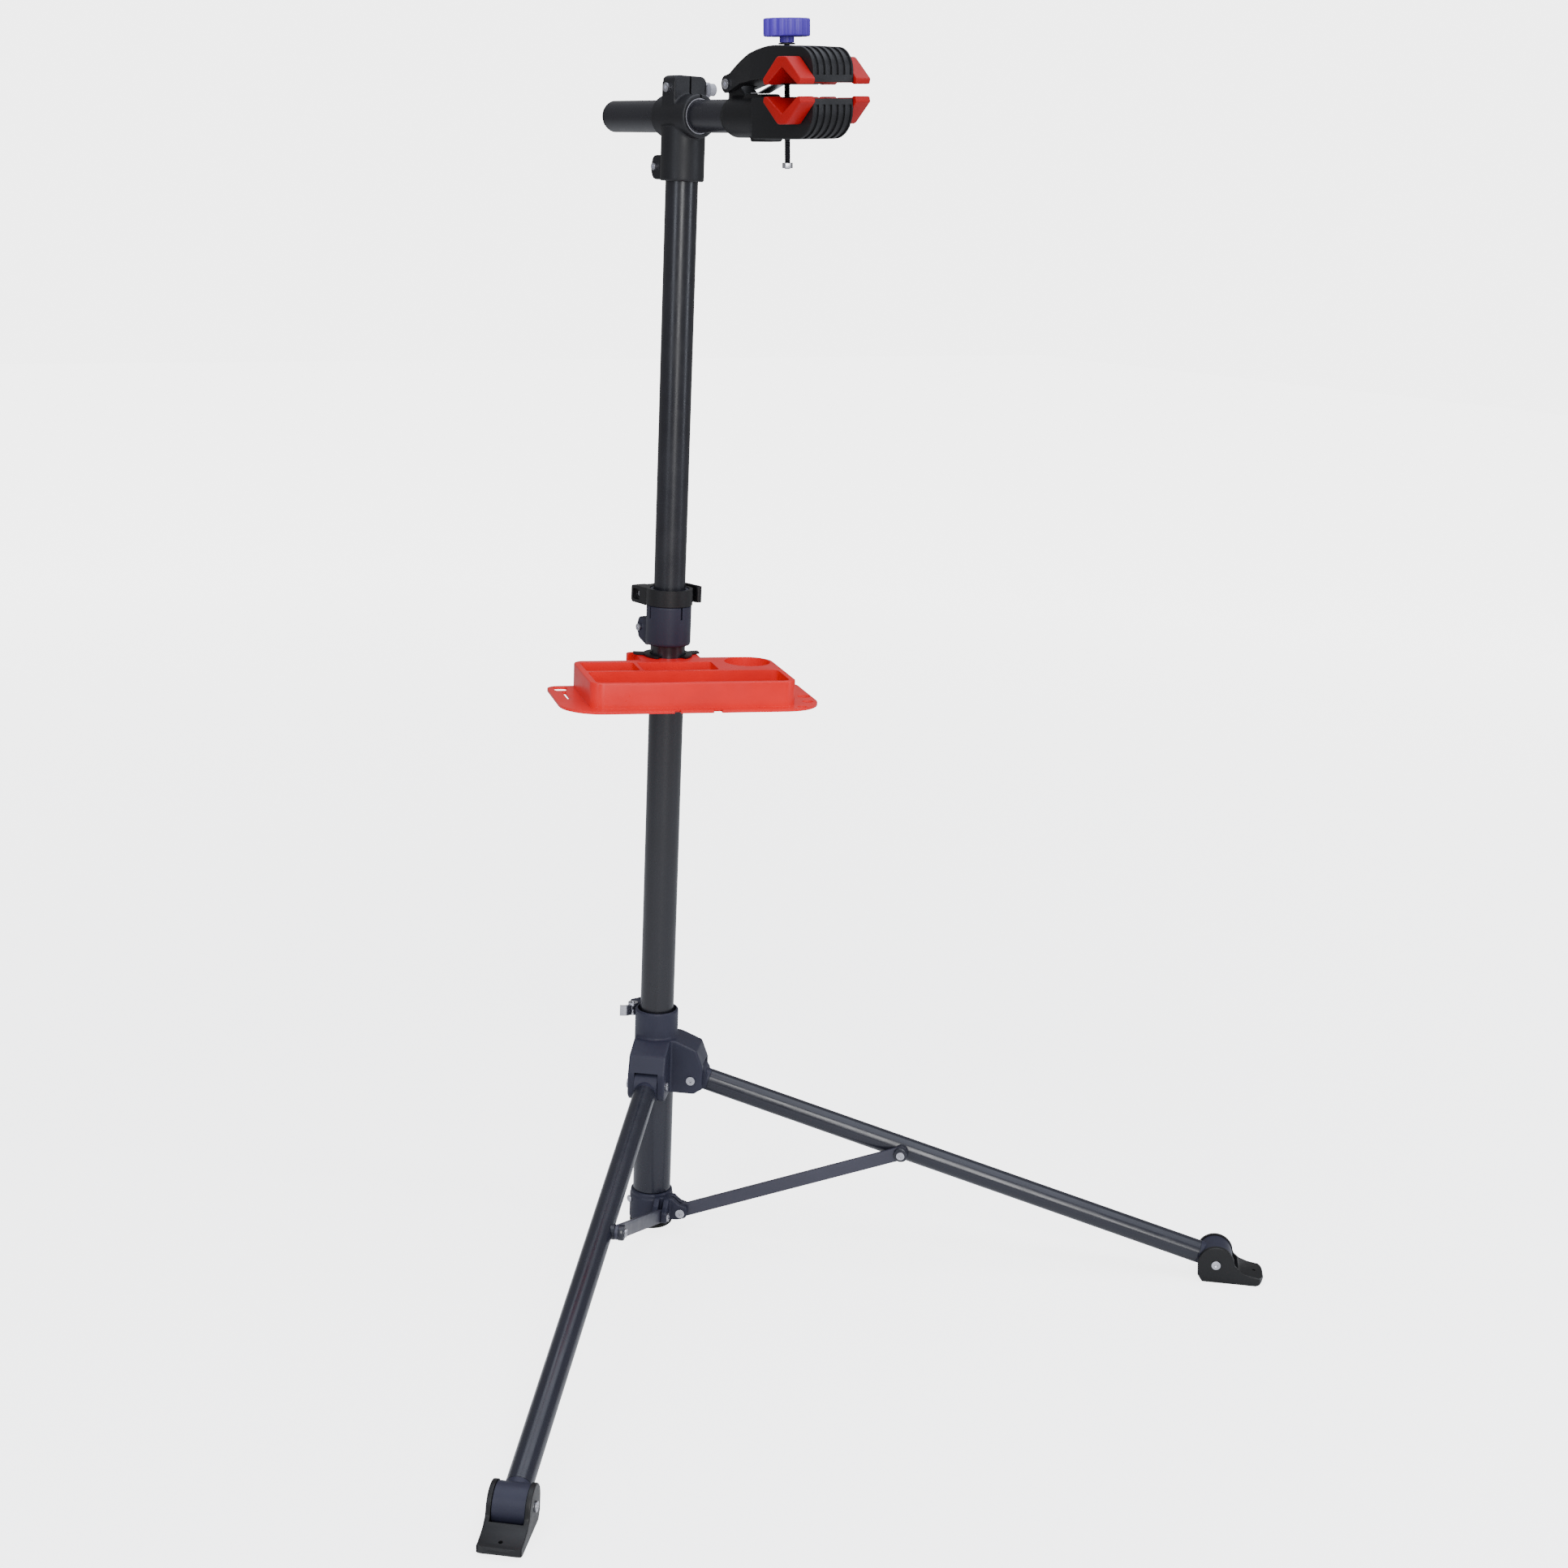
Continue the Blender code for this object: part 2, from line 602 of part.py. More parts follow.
def make_leg(leg):
    """A leg in its own frame: X runs down the leg from the hub pivot, Y across."""
    azimuth = LEG_AZIMUTHS[leg]
    side = STRUT_SIDES[leg]
    angle = math.radians(azimuth)
    pivot = (HUB_PIVOT[0] * math.cos(angle), HUB_PIVOT[0] * math.sin(angle), HUB_PIVOT[1])
    frame = frame_at(f"leg_axis_{leg}", pivot, (0, math.degrees(LEG_SLOPE), azimuth))
    tube_start = 19.0
    tube_end = LEG_LENGTH - 21.0
    part(f"leg_tube_{leg}", tube(LEG_RADIUS, LEG_BORE, tube_start, tube_end, "x"), "leg_grey", frame)
    ends = (
        ("leg_top_fitting", BARREL_RADIUS, BARREL_HALF, 0.0, tube_start - GAP, 46.0),
        (
            "leg_end_fitting", FOOT_BARREL_RADIUS, FOOT_BARREL_HALF,
            LEG_LENGTH, tube_end + GAP, LEG_LENGTH - 46.0,
        ),
    )
    for name, radius, half, centre, shoulder, tip in ends:
        barrel = rod(radius, -half, half, "y", (centre, 0), LARGE_ROUND)
        fitting = part(f"{name}_{leg}", barrel, "casting_grey", frame, (centre, 0, 0))
        add(
            fitting,
            rod(LEG_RADIUS - 0.1, *sorted((centre, shoulder)), "x", segments=LARGE_ROUND),
            rod(LEG_BORE - GAP, *sorted((centre, tip)), "x", segments=MEDIUM_ROUND),
        )
        cut(fitting, rod(BOLT_HOLE, -20, 20, "y", (centre, 0)))
    low, high = sorted((side * 8.5, side * (STRUT_INNER - GAP)))
    washer = part(
        f"leg_washer_{leg}", rod(8.0, low, high, "y", (STRUT_ON_LEG, 0), MEDIUM_ROUND), "leg_grey", frame
    )
    cut(washer, rod(LEG_RADIUS + GAP, STRUT_ON_LEG - 15, STRUT_ON_LEG + 15, "x", segments=LARGE_ROUND))


def make_strut(leg):
    """A flat strut beside the leg, in a frame on its lower pivot: X runs up the strut."""
    azimuth = LEG_AZIMUTHS[leg]
    side = STRUT_SIDES[leg]
    angle = math.radians(azimuth)
    pivot = (STRUT_FOOT[0] * math.cos(angle), STRUT_FOOT[0] * math.sin(angle), STRUT_FOOT[1])
    frame = frame_at(f"strut_axis_{leg}", pivot, (0, -math.degrees(STRUT_SLOPE), azimuth))
    outline = arc((0, 0), STRUT_HALF_HEIGHT, 90, 270, 7)
    outline += arc((STRUT_LENGTH, 0), STRUT_HALF_HEIGHT, -90, 90, 7)
    low, high = sorted((side * STRUT_INNER, side * STRUT_OUTER))
    bar = soften(part(f"strut_bar_{leg}", prism(outline, low, high, "y"), "strut_grey", frame), 0.6)
    cut(bar, rod(BOLT_HOLE, -40, 40, "y"), rod(BOLT_HOLE, -40, 40, "y", (STRUT_LENGTH, 0)))
    cap = [
        (BOLT_HOLE, side * (STRUT_OUTER + GAP)),
        (8.3, side * (STRUT_OUTER + GAP)),
        (8.3, side * 23.8),
        (7.6, side * 25.0),
        (6.4, side * 25.5),
        (BOLT_HOLE, side * 25.5),
    ]
    part(f"strut_boss_{leg}", moved(lathe(cap, "y", MEDIUM_ROUND), x=STRUT_LENGTH), "leg_grey", frame)
    shape = bolt(4.6, side * 25.8, side * 27.4, side * (STRUT_INNER + GAP))
    part(f"strut_bolt_{leg}", moved(shape, x=STRUT_LENGTH), "bright_steel", frame)


def make_foot(leg):
    """A shoe that swivels on the leg's end; X runs outward and Z up from the bolt."""
    azimuth = LEG_AZIMUTHS[leg]
    angle = math.radians(azimuth)
    pivot = (FOOT_PIVOT[0] * math.cos(angle), FOOT_PIVOT[0] * math.sin(angle), FOOT_PIVOT[1])
    frame = frame_at(f"foot_axis_{leg}", pivot, (0, 0, azimuth))
    sole = -FOOT_PIVOT[1]
    outline = [(-14, sole), (46, sole), (52.5, sole + 3), (55, sole + 7), (53, sole + 10)]
    outline += [(47, -11.5), (37, -9.6), (28.5, -6.5), (21.6, -1)]
    outline += arc((0, 0), 20.5, 8, 176, 12)
    outline += [(-19.4, sole + 8)]
    shoe = part(f"foot_shoe_{leg}", prism(outline, -20.5, 20.5, "y"), "gloss_black", frame)
    soften(shoe, 1.2)
    toe_width = 40.0
    arch_radius = 36.0
    arch = arc((55.4 - arch_radius, 0), arch_radius, -34, 34, 6)
    blank = [(90, toe_width)] + [(90, -toe_width)] + arch
    slot_half = FOOT_BARREL_HALF + 0.6
    wall = FOOT_BARREL_RADIUS + 0.6
    slot = [(-30, -wall), (wall, -wall), (wall, -7.5), (25.5, -4), (45, 30), (-30, 30)]
    cut(
        shoe,
        prism(slot, -slot_half, slot_half, "y"),
        rod(BOLT_HOLE, -30, 30, "y"),
        rod(2.0, sole - 5, 0, "z", (44, 0), 12),
        prism(blank, sole - 5, 5),
    )
    profile = [(0, -22.4), (5, -22.4), (5, -20.8), (BOLT_RADIUS, -20.8)]
    outline = profile + [(radius, -position) for radius, position in profile[::-1]]
    part(f"foot_bolt_{leg}", lathe(outline, "y", SMALL_ROUND), "bright_steel", frame)


# Tool tray

def make_tray():
    """A moulded tray with compartments, a cup hole, a drilled shelf and an open-backed neck."""
    frame = frame_at("tray_axis", (0, 0, 0), (0, 0, TRAY_AZIMUTH))
    body = rounded(
        [(24, -110, 12), (144, -110, 14), (144, 110, 14), (11, 110, 26), (11, 30, 0), (24, 30, 0)], 4
    )
    tray = part("tool_tray", prism(body, TRAY_BOTTOM, TRAY_TOP), "tray_red", frame)
    soften(tray, 1.5)
    shelf = rounded([(26, -139, 14), (156, -139, 42), (156, 139, 42), (26, 139, 14)], 6)
    neck = rounded([(-22, -34, 8), (30, -34, 0), (30, 34, 0), (-22, 34, 8)])
    hook = arc((-13, -35), 8.5, 20, 300, 10) + arc((-13, -35), 5.0, 300, 20, 8)
    add(
        tray,
        prism(shelf, TRAY_BOTTOM, TRAY_SHELF_TOP),
        prism(neck, 654, TRAY_TOP),
        prism(hook, 660, TRAY_TOP),
    )
    pockets = (
        (rectangle(36, 79, -104, -46, 4), TRAY_SHELF_TOP),
        (rectangle(37, 79, -42, 40, 4), TRAY_SHELF_TOP),
        (rectangle(83, 139, -104, 103, 7), TRAY_SHELF_TOP),
        (circle(CUP_CENTRE, CUP_RADIUS, LARGE_ROUND), 600),
    )
    for outline, floor in pockets:
        cut(tray, prism(outline, floor, 700))
    cut(tray, rod(TRAY_MAST_BORE, 600, 700, segments=LARGE_ROUND))
    cut(tray, prism(rounded([(-40, -15, 0), (-8, -12, 0), (-8, 12, 0), (-40, 15, 0)]), 600, 700))
    for forward, across, radius in ((96, 130, 7), (121, 128, 6), (146, 115, 5)):
        cut(tray, rod(radius, 600, 700, "z", (forward, across)))
    cut(tray, prism(rectangle(31, 50, -132, -118, 3), 600, 700))
    cut(tray, prism(rectangle(56, 92, -126, -122.5, 1.7), 600, 700))
    cut(tray, prism(rectangle(43, 74, 121, 124.5, 1.7), 600, 700))
    for across, width in ((-21, 7), (22, 9)):
        cut(tray, box(149, 170, across - width / 2, across + width / 2, 600, 645.99))
    clip = arc((0, 0), 27, 35, 325, 14) + arc((0, 0), TRAY_MAST_BORE + 0.4, 325, 35, 14)
    spring = part("tray_clip", prism(clip, TRAY_TOP + 0.4, TRAY_TOP + 2.6), "gloss_black", frame)
    ears = [(-14, -36), (-5, -37), (2, -22), (-10, -22)]
    add(spring, prism(ears, TRAY_TOP + 0.4, TRAY_TOP + 2.6))
    add(spring, prism([(x, -y) for x, y in ears], TRAY_TOP + 0.4, TRAY_TOP + 2.6))


# Upper mast and head

def make_upper_mast():
    bush = [
        (9, 440), (16.3, 440), (17.1, 441), (17.1, UPPER_TUBE_BOTTOM - GAP),
        (UPPER_TUBE_BORE - GAP, UPPER_TUBE_BOTTOM - GAP), (UPPER_TUBE_BORE - GAP, 470), (9, 470),
    ]
    part("glide_bush", lathe(bush), "nylon_grey")
    shape = tube(UPPER_TUBE_RADIUS, UPPER_TUBE_BORE, UPPER_TUBE_BOTTOM, UPPER_TUBE_TOP)
    part("upper_tube", shape, "mast_black")


def make_head():
    """The T-shaped head: a socket on the mast, a split barrel round the arm and pinch lugs."""
    socket = [(0, HEAD_SOCKET_BOTTOM), (HEAD_SOCKET_RADIUS - 1, HEAD_SOCKET_BOTTOM)]
    socket += [(HEAD_SOCKET_RADIUS, HEAD_SOCKET_BOTTOM + 1), (HEAD_SOCKET_RADIUS, 1232), (0, 1232)]
    head = part("head_casting", lathe(socket), "casting_black")
    edge = HEAD_BARREL_RADIUS - 1.2
    half = HEAD_BARREL_HALF
    barrel = [(0, -half), (edge, -half), (edge + 1.2, 1.2 - half)]
    barrel += [(edge + 1.2, half - 1.2), (edge, half), (0, half)]
    block = rounded([(-20, 1246, 0), (20.5, 1246, 0), (20.5, HEAD_TOP, 7), (-20, HEAD_TOP, 7)])
    lug = rounded([(-15, 1203, 0), (-36, 1203, 7), (-40, 1190, 6), (-36, 1178, 7), (-15, 1178, 0)])
    add(
        head,
        moved(lathe(barrel, "x"), z=ARM_HEIGHT),
        prism(block, -12, 10.5, "x"),
        prism(lug, -13, 13, "y"),
    )
    slit = 1.1
    cut(
        head,
        rod(ARM_BUSH_RADIUS + GAP, -60, 60, "x", (0, ARM_HEIGHT), LARGE_ROUND),
        rod(UPPER_TUBE_RADIUS + GAP, 1100, UPPER_TUBE_TOP + 1, segments=LARGE_ROUND),
        box(-60, 60, -slit, slit, ARM_HEIGHT + 2, 1300),
        box(-60, -15.2, -slit, slit, 1150, 1206),
        rod(BOLT_HOLE, -40, 40, "y", CLAMP_BOLT),
        rod(BOLT_HOLE, -40, 40, "y", HEAD_SCREW),
    )
    part("head_screw", moved(bolt(3.8, -13.3, -15.4, 11), x=HEAD_SCREW[0], z=HEAD_SCREW[1]), "bright_steel")
    shape = moved(bolt(4.6, -20.3, -22.8, 33), x=CLAMP_BOLT[0], z=CLAMP_BOLT[1])
    part("clamp_bolt", shape, "bright_steel")


def make_wing_nut():
    """The two-winged nut that tightens the head on the arm."""
    x, z = CLAMP_BOLT
    wings = arc((12.5, 0), 6.5, -75, 75, 6) + arc((0, 0), 8, 35, 145, 4) + arc((-12.5, 0), 6.5, 105, 255, 6)
    wings += arc((0, 0), 8, 215, 325, 4)
    shape = moved(prism(wings, 22, 29.5, "y"), x=x, z=z)
    nut = soften(part("wing_nut", shape, "nylon_grey", None, (x, 25, z)), 1.0)
    add(nut, rod(8, 20.9, 31, "y", CLAMP_BOLT, MEDIUM_ROUND))
    cut(nut, rod(BOLT_HOLE, 10, 40, "y", CLAMP_BOLT))


# Arm and clamp

def make_arm(frame):
    half = HEAD_BARREL_HALF - 1
    part("arm_bush", tube(ARM_BUSH_RADIUS, ARM_RADIUS + GAP, -half, half, "x"), "nylon_grey", frame)
    cap_face = ARM_LEFT + 5.7
    part("arm_tube", tube(ARM_RADIUS, ARM_BORE, cap_face + GAP, ARM_TUBE_END, "x"), "mast_black", frame)
    cap = [
        (0, ARM_LEFT),
        (ARM_RADIUS - 4, ARM_LEFT),
        (ARM_RADIUS - 1.2, ARM_LEFT + 1.2),
        (ARM_RADIUS, ARM_LEFT + 4),
        (ARM_RADIUS, cap_face),
        (ARM_BORE - GAP, cap_face),
        (ARM_BORE - GAP, cap_face + 13),
        (0, cap_face + 13),
    ]
    part("arm_end_cap", lathe(cap, "x"), "gloss_black", frame)


def vee_notch(apex, open_to):
    """A triangle that widens from the apex height to the opening height."""
    reach = abs(open_to - apex) / VEE_SLOPE
    return [(VEE_X, apex), (VEE_X + reach, open_to), (VEE_X - reach, open_to)]


def nose_grooves(profile, inset):
    """Cutters for the parallel grooves that wrap over a jaw's nose."""
    outside = [(x + 8 if x > VEE_X else x, z + inset * 8) for x, z in profile]
    cutters = []
    for index in range(GROOVES):
        centre = (index - (GROOVES - 1) / 2) * GROOVE_PITCH
        cutters.append(
            prism(profile + outside[::-1], centre - GROOVE_WIDTH / 2, centre + GROOVE_WIDTH / 2, "y")
        )
    return cutters


def make_lower_jaw(frame):
    neck = [
        (0, 90), (18.4, 90), (21, 97), (21, JAW_BACK + 4), (0, JAW_BACK + 4),
    ]
    jaw = part("lower_jaw", lathe(neck, "x"), "jaw_black", frame)
    block = rounded([
        (JAW_BACK, JAW_BOTTOM, 4), (JAW_FRONT, JAW_BOTTOM, 27), (JAW_FRONT, JAW_LOWER_TOP, 3),
        (JAW_BACK, JAW_LOWER_TOP, 4),
    ], 5)
    post = [(91, 12)] + [(JAW_PIN[0] - 8.2, 28)] + arc(JAW_PIN, 8.2, 180, 20, 8) + [(122, 18), (122, 12)]
    boss = rounded([(124, -14, 0), (126, -24.6, 2), (158, -24.6, 2), (160, -14, 0)])
    ledge = rounded([(121, 10, 0), (121, 21, 2), (150, 21, 2), (156, 10, 0)])
    add(
        jaw,
        prism(block, -JAW_HALF_WIDTH, JAW_HALF_WIDTH, "y"),
        prism(post, -8.5, 8.5, "y"),
        prism(boss, -8, 8, "y"),
        prism(ledge, -12, 12, "y"),
    )
    notch_apex = VEE_LOWER - PAD_LINER - GAP
    cut(
        jaw,
        rod(ARM_RADIUS + GAP, 60, ARM_TUBE_END + 1, "x", segments=LARGE_ROUND),
        prism(vee_notch(notch_apex, 40), -40, 40, "y"),
        rod(ROD_RADIUS + GAP, -60, 60, "z", (ROD_X, 0)),
        rod(6.6, -40, -12, "z", (ROD_X, 0), MEDIUM_ROUND),
        rod(BOLT_HOLE, -30, 30, "y", JAW_PIN),
    )
    front = JAW_FRONT - GROOVE_DEPTH
    profile = [(front, 12)] + arc((JAW_FRONT - 27, JAW_BOTTOM + 27), 27 - GROOVE_DEPTH, 0, -78, 5)
    cut(jaw, *nose_grooves(profile, -1))


def make_upper_jaw(frame):
    """The arched lever jaw, hinged behind and slotted for the rod."""
    origin = (JAW_PIN[0], 0, JAW_PIN[1])
    arch = arc(JAW_PIN, 9.2, 250, 120, 8)
    arch += [(106, 48.5), (120, 56.5), (135, 61.8), (152, 65), (168, JAW_UPPER_TOP), (190, JAW_UPPER_TOP)]
    arch += arc((JAW_FRONT - 22, 63.7 - 22), 22, 84, 0, 5)
    arch += [(JAW_FRONT, JAW_UPPER_BOTTOM), (192, JAW_UPPER_BOTTOM), (168, 35.5), (125, 31)]
    jaw = part("upper_jaw", prism(arch, -JAW_HALF_WIDTH, JAW_HALF_WIDTH, "y"), "jaw_black", frame, origin)
    soften(jaw, 2.5)
    tail = [(70, -15.5), (104, -15.5), (150, -24.5), (150, -40), (70, -40)]
    slot = [(171, 70), (173, 20), (185, 20), (193.5, 70)]
    cut(
        jaw,
        prism(tail, 0, 90),
        prism([(x, -y) for x, y in tail], 0, 90),
        box(60, 118, -8.9, 8.9, 0, 90),
        prism(slot, -3.7, 3.7, "y"),
        prism(vee_notch(VEE_UPPER + PAD_LINER + GAP, 10), -40, 40, "y"),
        rod(BOLT_HOLE, -30, 30, "y", JAW_PIN),
    )
    profile = [(JAW_FRONT - GROOVE_DEPTH, 36)]
    profile += arc((JAW_FRONT - 22, 63.7 - 22), 22 - GROOVE_DEPTH, 0, 84, 5)
    profile += [(212, JAW_UPPER_TOP - GROOVE_DEPTH - 1)]
    cut(jaw, *nose_grooves(profile, 1))


def make_pads(frame):
    """Four V-shaped pads: two low ones on the fixed jaw and two on the lever jaw."""
    for jaw, apex, opening in (("lower", VEE_LOWER, 1), ("upper", VEE_UPPER, -1)):
        rise = PAD_HALF * VEE_SLOPE
        lip = 18.3 - VEE_LOWER
        inner = lip / VEE_SLOPE
        back = VEE_THICKNESS
        corners = [
            (-inner, lip, 0), (0, 0, 1.2), (inner, lip, 0), (PAD_HALF - 1.5, lip - 0.4, 1.5),
            (PAD_HALF, rise - back, 2), (7, -back - 0.6, 7), (-7, -back - 0.6, 7),
            (-PAD_HALF, rise - back, 2),
            (-PAD_HALF + 1.5, lip - 0.4, 1.5),
        ]
        outline = [(VEE_X + x, apex + opening * z) for x, z in rounded(corners, 3)]
        liner_reach = 22.0
        liner = [
            (-liner_reach, liner_reach * VEE_SLOPE), (0, 0), (liner_reach, liner_reach * VEE_SLOPE),
            (liner_reach, liner_reach * VEE_SLOPE - PAD_LINER), (0, -PAD_LINER),
            (-liner_reach, liner_reach * VEE_SLOPE - PAD_LINER),
        ]
        lining = [(VEE_X + x, apex + opening * z) for x, z in liner]
        origin = (JAW_PIN[0], 0, JAW_PIN[1]) if jaw == "upper" else (0, 0, 0)
        for number, side in ((1, -1), (2, 1)):
            low, high = sorted((side * (JAW_HALF_WIDTH + GAP), side * PAD_END))
            pad = part(f"{jaw}_pad_{number}", prism(outline, low, high, "y"), "pad_red", frame, origin)
            soften(pad, 1.0)
            low, high = sorted((side * PAD_INNER, side * (JAW_HALF_WIDTH + 4)))
            add(pad, prism(lining, low, high, "y"))


def make_jaw_fittings(frame):
    pin = [(0, -17.6), (5, -17.6), (5, -15.8), (BOLT_RADIUS, -15.8)]
    outline = pin + [(radius, -position) for radius, position in pin[::-1]]
    shape = moved(lathe(outline, "y", SMALL_ROUND), x=JAW_PIN[0], z=JAW_PIN[1])
    part("jaw_pin", shape, "bright_steel", frame)
    leaf = strip([(127, 22.0), (139, 22.0), (155, 27.2), (170, 32.0)], 1.2)
    part("spring_strip", prism(leaf, -7, 7, "y"), "bright_steel", frame)
    nut = part("captive_nut", rod(6.0, -20, -13, "z", (ROD_X, 0), 6), "bright_steel", frame)
    cut(nut, rod(ROD_RADIUS + GAP, -60, 60, "z", (ROD_X, 0)))


def make_clamp_screw(frame):
    """The threaded rod with its end nut, the fluted knob and the washer it presses on."""
    origin = (ROD_X, 0, 0)
    washer_low = JAW_UPPER_TOP + 1.0
    washer_high = washer_low + 1.5
    washer = moved(tube(8.2, ROD_RADIUS + GAP, washer_low, washer_high, "z", MEDIUM_ROUND), x=ROD_X)
    part("thrust_washer", washer, "jaw_black", frame, origin)
    shape = rod(ROD_RADIUS, ROD_BOTTOM, KNOB_TOP - 4, "z", (ROD_X, 0))
    screw = part("clamp_screw", shape, "black_steel", frame, origin)
    add(screw, rod(5.4, ROD_BOTTOM + 0.6, ROD_BOTTOM + 6, "z", (ROD_X, 0), 6))
    points = []
    steps = KNOB_FLUTES * 2
    for step in range(steps):
        angle = 2 * math.pi * step / steps
        radius = KNOB_RADIUS - 0.6 + 0.6 * math.cos(KNOB_FLUTES * angle)
        points.append((ROD_X + radius * math.cos(angle), radius * math.sin(angle)))
    knob = part("clamp_knob", prism(points, KNOB_BOTTOM, KNOB_TOP), "knob_violet", frame, origin)
    soften(knob, 1.6)
    add(knob, rod(7.2, washer_high + GAP, KNOB_BOTTOM + 2, "z", (ROD_X, 0), MEDIUM_ROUND))
    cut(knob, rod(ROD_RADIUS + GAP, 50, KNOB_TOP - 3, "z", (ROD_X, 0)))


def clear_scene():
    for old in list(bpy.data.objects):
        bpy.data.objects.remove(old, do_unlink=True)


def build():
    clear_scene()
    make_foot_pad()
    make_bracket()
    make_bracket_fasteners()
    make_middle_tube()
    make_collar()
    make_collar_band()
    make_quick_release("collar", COLLAR_SKEWER, COLLAR_PIN_Y, -17.5, None, 729.5, 748.5, "bright_steel")
    make_collar_lever()
    make_hub()
    make_sleeve()
    make_quick_release("hub", HUB_SKEWER, HUB_PIN_Y, 12.5, 8.4, 248.6, 265.4, "bright_steel")
    make_hub_lever()
    for leg in LEG_AZIMUTHS:
        make_leg(leg)
        make_strut(leg)
        make_foot(leg)
    make_tray()
    make_upper_mast()
    make_head()
    make_wing_nut()
    arm_frame = frame_at("arm_axis", (0, 0, ARM_HEIGHT), (ARM_ROLL, 0, 0))
    make_arm(arm_frame)
    make_lower_jaw(arm_frame)
    make_upper_jaw(arm_frame)
    make_pads(arm_frame)
    make_jaw_fittings(arm_frame)
    make_clamp_screw(arm_frame)


build()
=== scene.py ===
"""The looks of a folding bicycle repair stand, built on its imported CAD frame.

Every CAD node gets a finer piece of the same size on the same body, with a procedural material.
Piece sizes are in millimetres and are scaled to metres when a piece is made.
"""

import json
import math

import bmesh
import bpy
from mathutils import Matrix, Vector


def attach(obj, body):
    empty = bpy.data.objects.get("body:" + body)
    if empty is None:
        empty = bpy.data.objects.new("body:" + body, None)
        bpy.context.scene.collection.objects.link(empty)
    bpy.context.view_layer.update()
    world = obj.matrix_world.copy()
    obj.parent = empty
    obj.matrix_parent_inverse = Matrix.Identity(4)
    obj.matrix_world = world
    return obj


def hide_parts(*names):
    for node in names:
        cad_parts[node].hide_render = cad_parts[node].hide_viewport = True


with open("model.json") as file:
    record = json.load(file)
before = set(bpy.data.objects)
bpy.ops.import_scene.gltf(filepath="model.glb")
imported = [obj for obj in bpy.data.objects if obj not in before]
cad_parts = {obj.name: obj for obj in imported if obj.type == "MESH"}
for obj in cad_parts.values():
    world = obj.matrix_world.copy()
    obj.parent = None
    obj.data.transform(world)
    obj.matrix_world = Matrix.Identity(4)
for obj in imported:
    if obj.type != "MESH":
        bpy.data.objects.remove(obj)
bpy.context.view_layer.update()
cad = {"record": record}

MM = 0.001
GAP = 0.3
SHARP_ANGLE = math.radians(32)
DETAIL = 3
LARGE_ROUND = 96
MEDIUM_ROUND = 56
SMALL_ROUND = 36

# Mast, from the floor up
PAD_RADIUS = 24.5
PAD_HEIGHT = 4.0
BRACKET_RADIUS = 25.1
BRACKET_TOP = 42.0
BRACKET_FLOOR = 7.7
MIDDLE_TUBE_RADIUS = 19.0
MIDDLE_TUBE_BORE = 17.45
MIDDLE_TUBE_TOP = 729.0
UPPER_TUBE_RADIUS = 17.15
UPPER_TUBE_BORE = 15.75
UPPER_TUBE_BOTTOM = 452.4
UPPER_TUBE_TOP = 1215.5

# Collar at the top of the middle tube
COLLAR_RADIUS = 24.6
COLLAR_BOTTOM = 686.0
COLLAR_SHOULDER = 729.8
COLLAR_NECK_RADIUS = 21.4
COLLAR_NECK_BORE = 17.6
COLLAR_TOP = 747.5
COLLAR_SCREW = (-35.3, 699.8)
BAND_RADIUS = 25.5
BAND_BOTTOM = 730.3
BAND_TOP = 748.0
COLLAR_SKEWER = (-33.0, 738.0)
COLLAR_PIN_Y = 18.0

# Legs and struts, as radius from the mast axis and height
LEG_AZIMUTHS = {1: -45.0, 2: 45.0}
STRUT_SIDES = {1: 1, 2: -1}
HUB_PIVOT = (45.2, 186.5)
FOOT_PIVOT = (651.0, 22.0)
STRUT_FOOT = (38.9, 23.9)
STRUT_SHARE = 0.4028
LEG_RADIUS = 12.8
LEG_BORE = 11.4
LEG_LENGTH = math.dist(HUB_PIVOT, FOOT_PIVOT)
LEG_SLOPE = math.asin((HUB_PIVOT[1] - FOOT_PIVOT[1]) / LEG_LENGTH)
STRUT_ON_LEG = LEG_LENGTH * STRUT_SHARE
STRUT_HEAD = (
    HUB_PIVOT[0] + STRUT_ON_LEG * math.cos(LEG_SLOPE),
    HUB_PIVOT[1] - STRUT_ON_LEG * math.sin(LEG_SLOPE),
)
STRUT_LENGTH = math.dist(STRUT_FOOT, STRUT_HEAD)
STRUT_SLOPE = math.asin((STRUT_HEAD[1] - STRUT_FOOT[1]) / STRUT_LENGTH)
FOOT_BARREL_RADIUS = 19.3
FOOT_BARREL_HALF = 15.2
FITTING_REACH = 46.0
STRUT_INNER = 15.3
STRUT_OUTER = 19.3
STRUT_HALF_HEIGHT = 7.75
BOLT_RADIUS = 3.0
BOLT_HOLE = BOLT_RADIUS + GAP
PIN_HEAD = 5.0
LEVER_PIN = 1.7
SLIT = 1.1

# Hub that slides on the middle tube
HUB_RADIUS = 24.6
HUB_BOTTOM = 170.0
HUB_SHOULDER = 219.0
HUB_TOP = 263.6
SLEEVE_RADIUS = 21.65
SLEEVE_BORE = 19.35
SLEEVE_BOTTOM = 43.0
SLEEVE_TOP = 258.0
CHEEK_HALF = 21.0
BARREL_RADIUS = 17.5
BARREL_HALF = 13.0
HUB_SKEWER = (-27.5, 257.0)
HUB_PIN_Y = -14.5

# Tool tray, in its own frame: X runs forward and Y across
TRAY_AZIMUTH = -22.5
TRAY_TOP = 673.0
TRAY_SHELF_TOP = 646.0
TRAY_BOTTOM = 643.0
TRAY_MAST_BORE = 19.5
CUP_CENTRE = (38.5, 80.5)
CUP_RADIUS = 25.0

